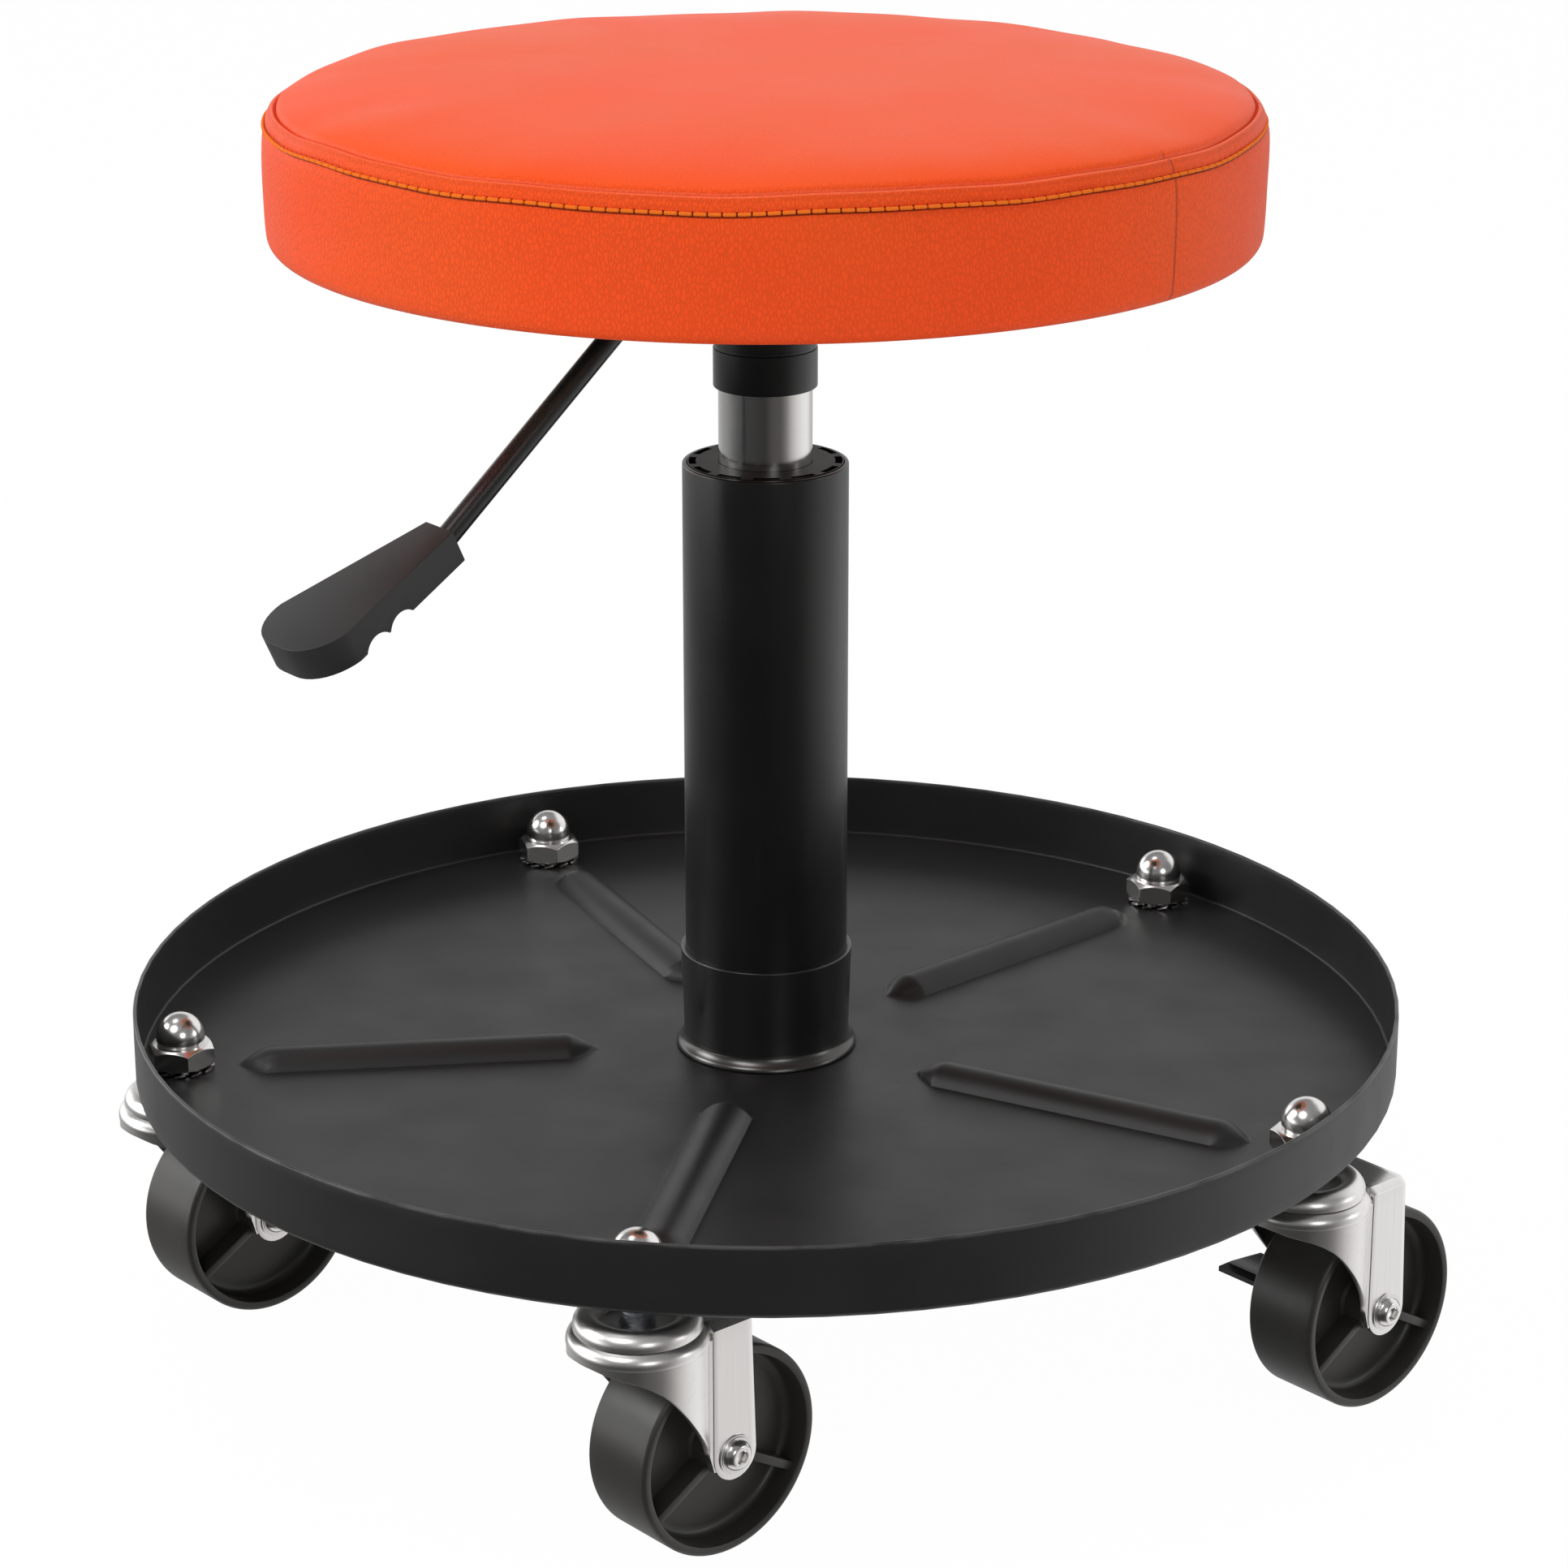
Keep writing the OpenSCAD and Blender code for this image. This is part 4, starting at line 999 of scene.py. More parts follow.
@dataclass
class Cushion:
    """The stuffed seat: a sewn vinyl cover over foam, turned in under the board.

    Heights are counted from the underside of the seat.
    """

    low_r: float = 145.6
    edge_r: float = 4.0
    board_r: float = 136.9
    open_r: float = 119.5
    turn_in: float = 2.2
    hollow_z: float = 14.8
    stitch_r: float = 145.1
    ridge: Pair = (143.2, 39.9)
    crown_z: float = 39.8
    crown: float = 8.6
    crown_power: float = 4.5
    steps: int = 288
    calm: Pair = (90.0, 20.0)
    blend: Pair = (45.0, 12.0)
    foam_voxel: float = 6.0
    pressure: float = 4.0
    frames: int = 20
    swell_cap: float = 1.4
    stitch_len: float = 3.45
    thread_d: float = 1.0
    staples: int = 44
    staple_r: float = 127.0

    def build(self) -> None:
        """Makes the cover, its stitches and the staples under it."""
        cover = Bench.lathe("seat_cover", self._section(), self.steps, shape=Shape.CLOSED)
        self._settle(cover)
        self._swell(cover)
        Bench.modify(cover, "SUBSURF", levels=1, render_levels=1)
        dress(cover, FINISH.vinyl, ["cushion"], angle=60)
        dress(self._stitching(), FINISH.thread, body=home("cushion"))
        dress(self._staples(), FINISH.zinc, body=home("cushion"))

    def _section(self) -> list[Pair]:
        """Lists the cover's closed section.

        Returns:
            Points of radius and height, from the underside round the band to the crown.
        """
        inside = [(0, self.hollow_z), (70, self.hollow_z), (120, self.hollow_z)]
        inside += [(self.board_r, self.hollow_z), (self.board_r, self.turn_in), (128, self.turn_in)]
        inside += [(self.open_r, self.turn_in), (self.open_r - 0.3, 1.0), (self.open_r, 0.0), (129, 0.0)]
        edge = arc((self.low_r - self.edge_r, self.edge_r), self.edge_r, -90, 0, 6)
        bulge = [(146.2, 12.0), (146.5, 20.0), (146.5, 27.0), (146.2, 32.4), (145.6, 34.8)]
        band = flowing([edge[-1], *bulge])[1:]
        seam = [(self.stitch_r, SEAM_UP), (145.3, 36.3), (144.9, 37.5), (144.3, 38.7), (143.8, 39.5)]
        seam += [self.ridge, (142.75, 39.65), (142.4, 39.1), (PANEL_R, 38.5), (141.85, 39.1), (141.75, 40.0)]
        shares = [0.994, 0.988, 0.978, 0.965, 0.95, 0.93, 0.905, 0.875, 0.84, 0.8, 0.75, 0.69, 0.62]
        shares += [0.54, 0.45, 0.35, 0.24, 0.12, 0.0]
        rise = [self.crown_z + self.crown * math.sqrt(1 - s**self.crown_power) for s in shares]
        panel = [(PANEL_R * s, z) for s, z in zip(shares, rise)]
        return [(r, z + SEAT_Z) for r, z in inside + edge + band + seam + panel]

    @staticmethod
    def sway(turn: float) -> float:
        """How far the stitched line strays up or down at a direction in radians."""
        return sum(size * math.sin(n * turn + late) for size, n, late in SEAM_WAVES)

    def _settle(self, cover: Piece) -> None:
        """Lets the sewn edge stray a little, as a hand-guided seam does.

        Args:
            cover: The cover, whose middle and lower band stay still.
        """
        (calm_r, calm_z), (blend_r, blend_z) = self.calm, self.blend
        for vertex in cover.data.vertices:
            point = vertex.co
            radius = math.hypot(point.x, point.y) / MM
            height = point.z / MM - SEAT_Z
            share = clamped((height - calm_z) / blend_z) * clamped((radius - calm_r) / blend_r)
            if not share:
                continue
            turn = math.atan2(point.y, point.x)
            bulge = 0.22 * math.sin(3 * turn + 1.0) + 0.14 * math.sin(8 * turn + 0.3)
            point.z += self.sway(turn) * share * MM
            grow = 1 + bulge * share * MM / (radius * MM)
            point.x *= grow
            point.y *= grow

    def _swell(self, cover: Piece) -> None:
        """Stuffs a remeshed copy of the pad with air in a cloth simulation and passes its swell on.

        Args:
            cover: The dense cover, which takes the swell, capped.
        """
        foam = [(0, 3), (70, 3), (128, 3), (139, 5), (142, 12), (143.5, 24), (141, 36), (125, 42)]
        foam += [(80, 45), (0, 46)]
        pad = Bench.lathe("foam_trial", [(r, z + SEAT_Z) for r, z in foam])
        pad.data.remesh_voxel_size = self.foam_voxel * MM
        Bench.hold(pad)
        bpy.ops.object.voxel_remesh()
        rest = [v.co.copy() for v in pad.data.vertices]
        cloth = pad.modifiers.new("Cloth", "CLOTH")
        cloth.settings.use_pressure = True
        cloth.settings.uniform_pressure_force = self.pressure
        cloth.settings.effector_weights.gravity = 0.0
        cloth.settings.quality = 5
        scene = bpy.context.scene
        for number in range(self.frames):
            scene.frame_set(number + 1)
        bpy.ops.object.modifier_apply(modifier=cloth.name)
        moves = [v.co - r for v, r in zip(pad.data.vertices, rest)]
        scene.frame_set(1)
        most = max(m.length for m in moves) or 1.0
        tree = kdtree.KDTree(len(rest))
        for index, point in enumerate(rest):
            tree.insert(point, index)
        tree.balance()
        blur = 0.002
        for vertex in cover.data.vertices:
            height = vertex.co.z / MM - SEAT_Z
            share = clamped((height - 6) / 10)
            if share == 0.0 or height < self.hollow_z + 1 and vertex.co.xy.length < self.board_r * MM:
                continue
            near = tree.find_n(vertex.co, 10)
            weight = sum(1 / (d + blur) for _, _, d in near)
            move = sum((moves[i] / (d + blur) for _, i, d in near), Vector()) / weight
            vertex.co += move / most * self.swell_cap * share * MM
        Bench.discard(pad)

    def _stitching(self) -> Piece:
        """Models one stitch with tapered ends and repeats it round the seam.

        Returns:
            All the stitches.
        """
        Bench.clear()
        depth = self.stitch_len * 0.86 * MM
        bpy.ops.mesh.primitive_cylinder_add(vertices=8, radius=self.thread_d / 2 * MM, depth=depth)
        stitch = Bench.named("seat_stitches")
        Bench.edit()
        bpy.ops.transform.rotate(value=math.radians(90), orient_axis="X", center_override=(0, 0, 0))
        Bench.leave()
        Bench.pick_faces(stitch, lambda face: abs(face.normal.y) > 0.9)
        taper = 0.07 * self.stitch_len * MM
        bpy.ops.mesh.extrude_faces_move(TRANSFORM_OT_shrink_fatten={"value": taper})
        bpy.ops.transform.resize(value=(0.6, 1.0, 0.6), center_override=(0, 0, 0))
        bpy.ops.mesh.select_mode(type="VERT")
        bpy.ops.mesh.select_all(action="SELECT")
        place = ((self.stitch_r + 0.2) * MM, 0, (SEAT_Z + SEAM_UP) * MM)
        bpy.ops.transform.translate(value=place)
        Bench.ring(stitch, STITCHES)
        for vertex in stitch.data.vertices:
            vertex.co.z += self.sway(math.atan2(vertex.co.y, vertex.co.x)) * MM
        return stitch

    def _staples(self) -> Piece:
        """Models one upholstery staple and repeats it round the turned-in cover.

        Returns:
            All the staples.
        """
        wire = [(-5.0, 0.9), (-5.0, -0.45), (5.0, -0.45), (5.0, 0.9)]
        wire += [(4.3, 0.9), (4.3, 0.15), (-4.3, 0.15), (-4.3, 0.9)]
        staple = Bench.slab("cover_staples", wire, -0.35, 0.35)
        Bench.ease_edges(staple, 0.12, 1)
        Bench.place(staple, turned(90, "X"), turned(82, "Z"), shifted(self.staple_r, 0, SEAT_Z))
        Bench.ring(staple, self.staples)
        return staple


@dataclass
class SeatCarrier:
    """The collar under the seat's plate, which takes the top of the gas lift."""

    radius: float = 15.6
    low_z: float = 294.6
    line_up: float = 12.0
    line_w: float = 0.9
    line_depth: float = 0.35
    bore_r: float = 14.12
    cone_r: float = 13.52
    top_bore_r: float = 12.0
    bore_top_z: float = 327.5
    slot_w: float = 7.92
    slot_z: float = 329.2
    lever_azimuth: float = 229.0

    def build(self) -> None:
        """Turns the collar and cuts the slot for the lever."""
        r, low, line = self.radius, self.low_z, self.low_z + self.line_up
        section = [(self.bore_r, low), (r - 0.5, low), *arc((r - 0.5, low + 0.5), 0.5, -60, 0, 3)]
        section += [(r, line - 0.2), (r - self.line_depth, line), (r - self.line_depth, line + self.line_w)]
        section += [(r, line + self.line_w + 0.2), (r, SEAT_Z - 0.3), (r - 0.3, SEAT_Z)]
        section += [(self.top_bore_r, SEAT_Z), (self.top_bore_r, self.bore_top_z)]
        section += [(self.cone_r, self.bore_top_z), (self.bore_r, low + 2.4)]
        collar = Bench.lathe("seat_collar_turned", section, 128, shape=Shape.CLOSED)
        half, reach = self.slot_w / 2, 30
        outline = [(0, -half), (reach, -half), (reach, half), (0, half)]
        slot = Bench.slab("collar_slot_tool", outline, self.slot_z, SEAT_Z + 2)
        Bench.place(slot, turned(self.lever_azimuth, "Z"))
        Bench.carve(collar, slot)
        dress(collar, FINISH.tube, ["seat_collar"])


@dataclass
class LeverGrip:
    """The moulded paddle at the end of the height lever."""

    length: float = 60.5
    neck_w: float = 13.4
    end_w: float = 35.0
    low: float = -5.5
    high: float = 4.5
    corner_r: float = 14.0
    notch_r: float = 6.0
    notch_bite: float = 2.52
    first_notch: float = 28.4
    notch_gap: float = 10.3
    azimuth: float = 229.0
    slope: float = 24.2
    place_r: float = 115.0
    place_z: float = 267.03
    edge: float = 0.7

    def build(self) -> None:
        """Extrudes the paddle's plan, cuts the finger notches and eases its edges."""
        far, wide = self.length - self.corner_r, self.end_w / 2
        inner, waist = wide - self.corner_r, (self.neck_w + self.end_w) / 4
        outline = [(0, -self.neck_w / 2), (far * 0.5, -waist)]
        outline += arc((far, -inner), self.corner_r, -90, 0, 10) + arc((far, inner), self.corner_r, 0, 90, 10)
        outline += [(far * 0.5, waist), (0, self.neck_w / 2)]
        grip = Bench.slab("lever_grip_moulded", outline, self.low, self.high)
        drop, half = self.low - self.notch_r + self.notch_bite, 40
        for k in range(2):
            rod = [(0, -half), (self.notch_r, -half), (self.notch_r, half), (0, half)]
            tool = Bench.lathe("notch_tool", rod, 48)
            Bench.place(tool, turned(90, "X"), shifted(self.first_notch + k * self.notch_gap, 0, drop))
            Bench.carve(grip, tool)
        Bench.ease_edges(grip, self.edge, 3, 30)
        place = turned(self.azimuth, "Z") @ shifted(self.place_r, 0, self.place_z) @ turned(self.slope, "Y")
        Bench.place(grip, place)
        dress(grip, FINISH.grip, ["lever_grip"])


# Column


@dataclass
class GasColumn:
    """The outer tube, its slotted bushing, the polished cylinder and the flared socket."""

    tube_r: float = 25.0
    wall: float = 1.5
    foot_z: float = 62.2
    top_z: float = 271.4
    socket_top: float = 116.9
    socket_low: float = 74.8
    taper: float = 1.1 / 32.5
    flare: float = 2.6
    flare_h: float = 4.6
    bushing_low: float = 216.4
    bushing_bore: float = 14.15
    bushing_up: float = 0.25
    slot_in: float = 20.9
    slot_out: float = 23.02
    slot_depth: float = 5.0
    slot_pitch: float = 30.0
    slot_span: float = 21.0
    slot_phase: float = 12.0
    rod_r: float = 14.1
    rod_bore: float = 12.0
    rod_tip: float = 13.5
    rod_low: float = 99.8
    rod_top: float = 327.5
    cone_z: float = 297.0

    def tube_at(self, z: float) -> float:
        """Outer radius of the tube at a height."""
        return self.tube_r - self.taper * max(0.0, self.socket_top - z)

    def build(self) -> None:
        """Makes the four visible pieces."""
        self._tube()
        self._bushing()
        self._cylinder()
        self._socket()

    def _tube(self) -> None:
        """Turns the outer tube with an eased, rolled lip."""
        r, bore, top, low = self.tube_r, self.tube_r - self.wall, self.top_z, self.tube_at(self.foot_z)
        section = [(low - self.wall, self.foot_z), (low - 0.2, self.foot_z), (low, self.foot_z + 0.3)]
        section += [(r, self.socket_top), (r, 160), (r, 220), *arc((r - 0.6, top - 0.6), 0.6, 0, 90, 4)]
        section += [(bore + 0.3, top), (bore, top - 0.3), (bore, 200), (bore, self.socket_top)]
        tube = Bench.lathe("column_tube_painted", section, 144, shape=Shape.CLOSED)
        dress(tube, FINISH.tube, ["column_tube"])

    def _bushing(self) -> None:
        """Turns the guide bushing and sinks its slots into the top."""
        out, bore, top = self.tube_r - self.wall - 0.02, self.bushing_bore, self.top_z + self.bushing_up
        section = [(bore, self.bushing_low), (out, self.bushing_low), (out, top - 0.2), (out - 0.2, top)]
        section += [(self.slot_out, top), (self.slot_in, top), (18.0, top), (bore + 0.15, top)]
        section += [(bore, top - 0.15)]
        bushing = Bench.lathe("guide_bushing_slotted", section, 120, 1.5, Shape.CLOSED)
        Bench.pick_faces(bushing, self._in_slot)
        bpy.ops.mesh.extrude_region_move(TRANSFORM_OT_translate={"value": (0, 0, -self.slot_depth * MM)})
        bpy.ops.mesh.select_mode(type="VERT")
        Bench.leave()
        dress(bushing, FINISH.bushing, ["guide_bushing"])

    def _in_slot(self, face: bpy.types.MeshPolygon) -> bool:
        """Finds the faces of the bushing's top where a slot goes.

        Args:
            face: A face of the bushing.

        Returns:
            Whether the face is one of them.
        """
        spot = face.center / MM
        turn = (math.degrees(math.atan2(spot.y, spot.x)) - self.slot_phase) % self.slot_pitch
        turn = min(turn, self.slot_pitch - turn)
        inside = self.slot_in < math.hypot(spot.x, spot.y) < self.slot_out and turn < self.slot_span / 2
        return inside and face.normal.z > 0.9

    def _cylinder(self) -> None:
        """Turns the polished cylinder of the gas lift."""
        r, low = self.rod_r, self.rod_low
        section = [(self.rod_bore, low), (r - 0.4, low), (r, low + 0.4), (r, 200), (r, self.cone_z)]
        section += [(self.rod_tip, self.rod_top), (self.rod_bore, self.rod_top)]
        rod = Bench.lathe("gas_cylinder_polished", section, 128, shape=Shape.CLOSED)
        dress(rod, FINISH.chrome, ["gas_cylinder"])

    def _socket(self) -> None:
        """Turns the tapered socket with its flared foot and rolled top edge."""
        wall, low, high = self.wall, self.socket_low, self.socket_top
        foot, top, skin = self.tube_at(FLOOR_Z) + wall, self.tube_r + wall, wall - 0.05
        brim = foot + self.flare
        section = [(self.tube_at(low) + 0.02, low), (self.tube_at(low) + skin, low)]
        section += [(self.tube_at(83.0) + skin, 83.0), (foot - 0.02, FLOOR_Z), (brim - 0.5, FLOOR_Z)]
        section += [(brim, FLOOR_Z + 0.35), (brim - 0.05, FLOOR_Z + 0.9)]
        curve = [(brim - 0.45, 1.5), (foot + 1.15, 2.5), (foot + 0.45, 3.8), (foot + 0.25, 5.2)]
        section += flowing([(r, FLOOR_Z + up) for r, up in curve])
        section += [(self.tube_at(96) + wall, 96.0), (top, high - 0.7)]
        section += arc((top - 0.45, high - 0.45), 0.45, 10, 90, 3)
        section += [(self.tube_r + 0.02, high - 0.2)]
        socket = Bench.lathe("hub_socket_flared", section, 144, shape=Shape.CLOSED)
        line = FLOOR_Z + self.flare_h

        def bare(spot: Vector) -> int:
            """Number of the finish: 1 on the flare, 0 elsewhere."""
            return int(spot.z < line and math.hypot(spot.x, spot.y) > foot - 0.3)

        paint_faces(socket, [FINISH.gloss, FINISH.foot], bare)
        dress(socket, FINISH.gloss, ["hub_socket"])


# Tray


@dataclass
class ToolTray:
    """The round pressed tray, with its ribs and its rolled rim."""

    under_z: float = 83.2
    sheet: float = 1.2
    outer_r: float = 195.5
    bend_r: float = 2.0
    rim_top: float = 105.0
    hole_r: float = 25.45
    rib_w: float = 16.0
    rib_h: float = 4.8
    rib_in: float = 53.0
    rib_out: float = 164.0
    point: float = 9.5
    band: float = 13.0
    band_cells: int = 26
    fan_cells: int = 8
    fine_step: float = 0.8
    coarse_step: float = 2.2
    bend_steps: int = 6
    soft: float = 0.2
    radii: list[float] = field(default_factory=list)

    def build(self) -> None:
        """Presses the sheet, gives it its wall and eases the lip."""
        self._lay_rows()
        columns = STEMS * (self.band_cells + 2 * self.fan_cells)
        pan = Bench.sheet("tool_tray_pressed", columns, len(self.radii) - 1, self._spot)
        Bench.hold(pan)
        Bench.edit()
        bpy.ops.mesh.normals_make_consistent(inside=False)
        Bench.leave()
        middle = [f for f in pan.data.polygons if math.hypot(*f.center.xy) < 40 * MM]
        if sum(f.normal.z for f in middle) < 0:
            pan.data.flip_normals()
        Bench.thicken(pan, self.sheet, -1.0)
        Bench.ease_edges(pan, 0.45, 3, 60)
        dress(pan, FINISH.tray, ["tray"], angle=40)

    def _lay_rows(self) -> None:
        """Works out where the sheet's rings lie, as lengths along its section."""
        flat = self.outer_r - self.bend_r
        rows = [self.hole_r, 30, 36, 42, 47, 50]
        step = self.rib_in - self.point * 0.3
        while step < self.rib_out + 3:
            rows.append(step)
            near = min(abs(step - self.rib_in - 4), abs(step - self.rib_out + 4))
            step += self.fine_step if near < 6 else self.coarse_step
        self.radii = sorted({*rows, 170, 175, 180, 185, 189, flat})
        bend = (self.bend_r - self.sheet) * math.pi / 2
        wall = self.rim_top - (self.under_z + self.bend_r)
        shares = range(1, self.bend_steps + 1)
        self.radii += [flat + bend * k / self.bend_steps for k in shares]
        self.radii += [flat + bend + wall * k / self.bend_steps for k in shares]

    def rib(self, along: float, across: float) -> float:
        """Height of a rib over the floor, with a soft foot.

        Args:
            along: Distance from the tray's middle along the rib.
            across: Distance from the rib's middle line.

        Returns:
            The height in millimetres.
        """
        arc_r = (self.rib_w**2 / 4 + self.rib_h**2) / (2 * self.rib_h)
        sunk = arc_r - self.rib_h
        ends = min(along - self.rib_in, self.rib_out - along)
        share = 1 - (1 - clamped(ends / self.point)) ** 1.4
        if share <= 0.01:
            return 0.0
        across = min(abs(across) / share, arc_r)
        rise = max(share * (math.sqrt(arc_r**2 - across**2) - sunk), -2.0)
        foot = 0.5 * (math.sqrt(4.0 + self.soft**2) - 2.0)
        return 0.5 * (rise + math.sqrt(rise * rise + self.soft**2)) - foot

    def _spot(self, column: float, row: float) -> Point:
        """Place of one point on the pressed sheet's upper side.

        Args:
            column: Number of the line that runs outwards.
            row: Number of the ring.

        Returns:
            The point.
        """
        wedge, line = divmod(round(column), self.band_cells + 2 * self.fan_cells)
        length = self.radii[round(row)]
        flat, inner = self.outer_r - self.bend_r, self.bend_r - self.sheet
        floor = self.under_z + self.sheet
        bend = inner * math.pi / 2
        if length <= flat:
            radius, height = length, floor
        elif length <= flat + bend + 1e-6:
            a = (length - flat) / inner
            radius, height = flat + inner * math.sin(a), floor + inner * (1 - math.cos(a))
        else:
            radius, height = flat + inner, floor + inner + length - flat - bend
        half = math.pi / STEMS
        edge = math.asin(min(1.0, self.band / radius))
        if line < self.fan_cells:
            turn = -half + (half - edge) * line / self.fan_cells
        elif line <= self.fan_cells + self.band_cells:
            across = -self.band + 2 * self.band * (line - self.fan_cells) / self.band_cells
            turn = math.asin(across / radius)
        else:
            turn = edge + (half - edge) * (line - self.fan_cells - self.band_cells) / self.fan_cells
        if length <= flat:
            height += self.rib(radius * math.cos(turn), radius * math.sin(turn))
        turn += math.radians(FIRST_STEM + 360 / STEMS * wedge)
        return (radius * math.cos(turn), radius * math.sin(turn), height)


@dataclass
class StemFasteners:
    """The domed nuts and toothed washers on the caster stems."""

    af: float = 18.5
    hex_h: float = 6.6
    dome_r: float = 7.5
    height: float = 16.2
    washer_rings: tuple[float, ...] = (5.15, 6.4, 7.9, 8.5, 9.3, 10.1)
    root_r: float = 7.9
    washer_h: float = 1.8
    plate: float = 0.62
    teeth: int = 12
    tooth_cells: int = 10

    def build(self) -> None:
        """Makes one nut and one washer and sets five of each."""
        nut, washer = self._nut(), self._washer()
        over, on = shifted(z=FLOOR_Z + self.washer_h), shifted(z=FLOOR_Z)
        nuts = [Bench.copy(nut, "nut", stem_place(k) @ over) for k in range(STEMS)]
        washers = [Bench.copy(washer, "washer", stem_place(k) @ on) for k in range(STEMS)]
        Bench.discard(nut, washer)
        dress(Bench.weld("dome_nuts", nuts), FINISH.nickel, ["cap_nuts"], angle=15)
        dress(Bench.weld("toothed_washers", washers), FINISH.nickel, ["lock_washers"])

    def _nut(self) -> Piece:
        """Carves a hexagon with turned chamfers and sets a dome on it.

        Returns:
            The nut, standing on the origin.
        """
        outline, flat, high = hexagon(self.af), self.af / 2, self.hex_h
        body = Bench.slab("nut_trial", outline, 0, high)
        corner = outline[0][0] + 0.4
        cone = [(0, -0.01), (flat - 0.1, -0.01), (corner, 0.9), (corner, high - 1.7)]
        cone += [(flat - 0.6, high + 0.01), (0, high + 0.01)]
        Bench.carve(body, Bench.lathe("chamfer_tool", cone), "INTERSECT")
        Bench.ease_edges(body, 0.2, 2, 28)
        centre = self.height - self.dome_r
        sunk = math.degrees(math.asin((centre - high - 0.15) / self.dome_r))
        ball = arc((0, centre), self.dome_r, -sunk, 90, 16)
        neck = ball[0][0]
        foot = [(0, 1.0), (neck - 0.25, 1.0), (neck - 0.25, high - 0.1), (neck - 0.2, high + 0.05)]
        dome = Bench.lathe("dome_trial", foot + ball, 72)
        return Bench.weld("nut_trial", [body, dome])

    def _washer(self) -> Piece:
        """Presses a toothed lock washer whose teeth are set over a little.

        Returns:
            The washer, lying on the origin.
        """
        cells, rings, root = self.teeth * self.tooth_cells, self.washer_rings, self.root_r

        def form(i: float, j: float) -> Point:
            """Place of one point of the washer's sheet.

            Args:
                i: Number of the cell round the washer.
                j: Number of the ring, from the hole outwards.

            Returns:
                The point.
            """
            turn = ROUND * i / cells
            share = (i % self.tooth_cells) / self.tooth_cells
            tooth = 0.14 < share < 0.86
            radius = rings[round(j)]
            if not tooth:
                radius = min(radius, root + 0.02 * j)
            reach = max(0.0, radius - root) / (rings[-1] - root)
            tilt = (share - 0.5) * 1.3 * reach if tooth else 0.0
            return (radius * math.cos(turn), radius * math.sin(turn), self.washer_h / 2 + tilt)

        return Bench.thicken(Bench.sheet("washer_trial", cells, len(rings) - 1, form), self.plate)


# Casters


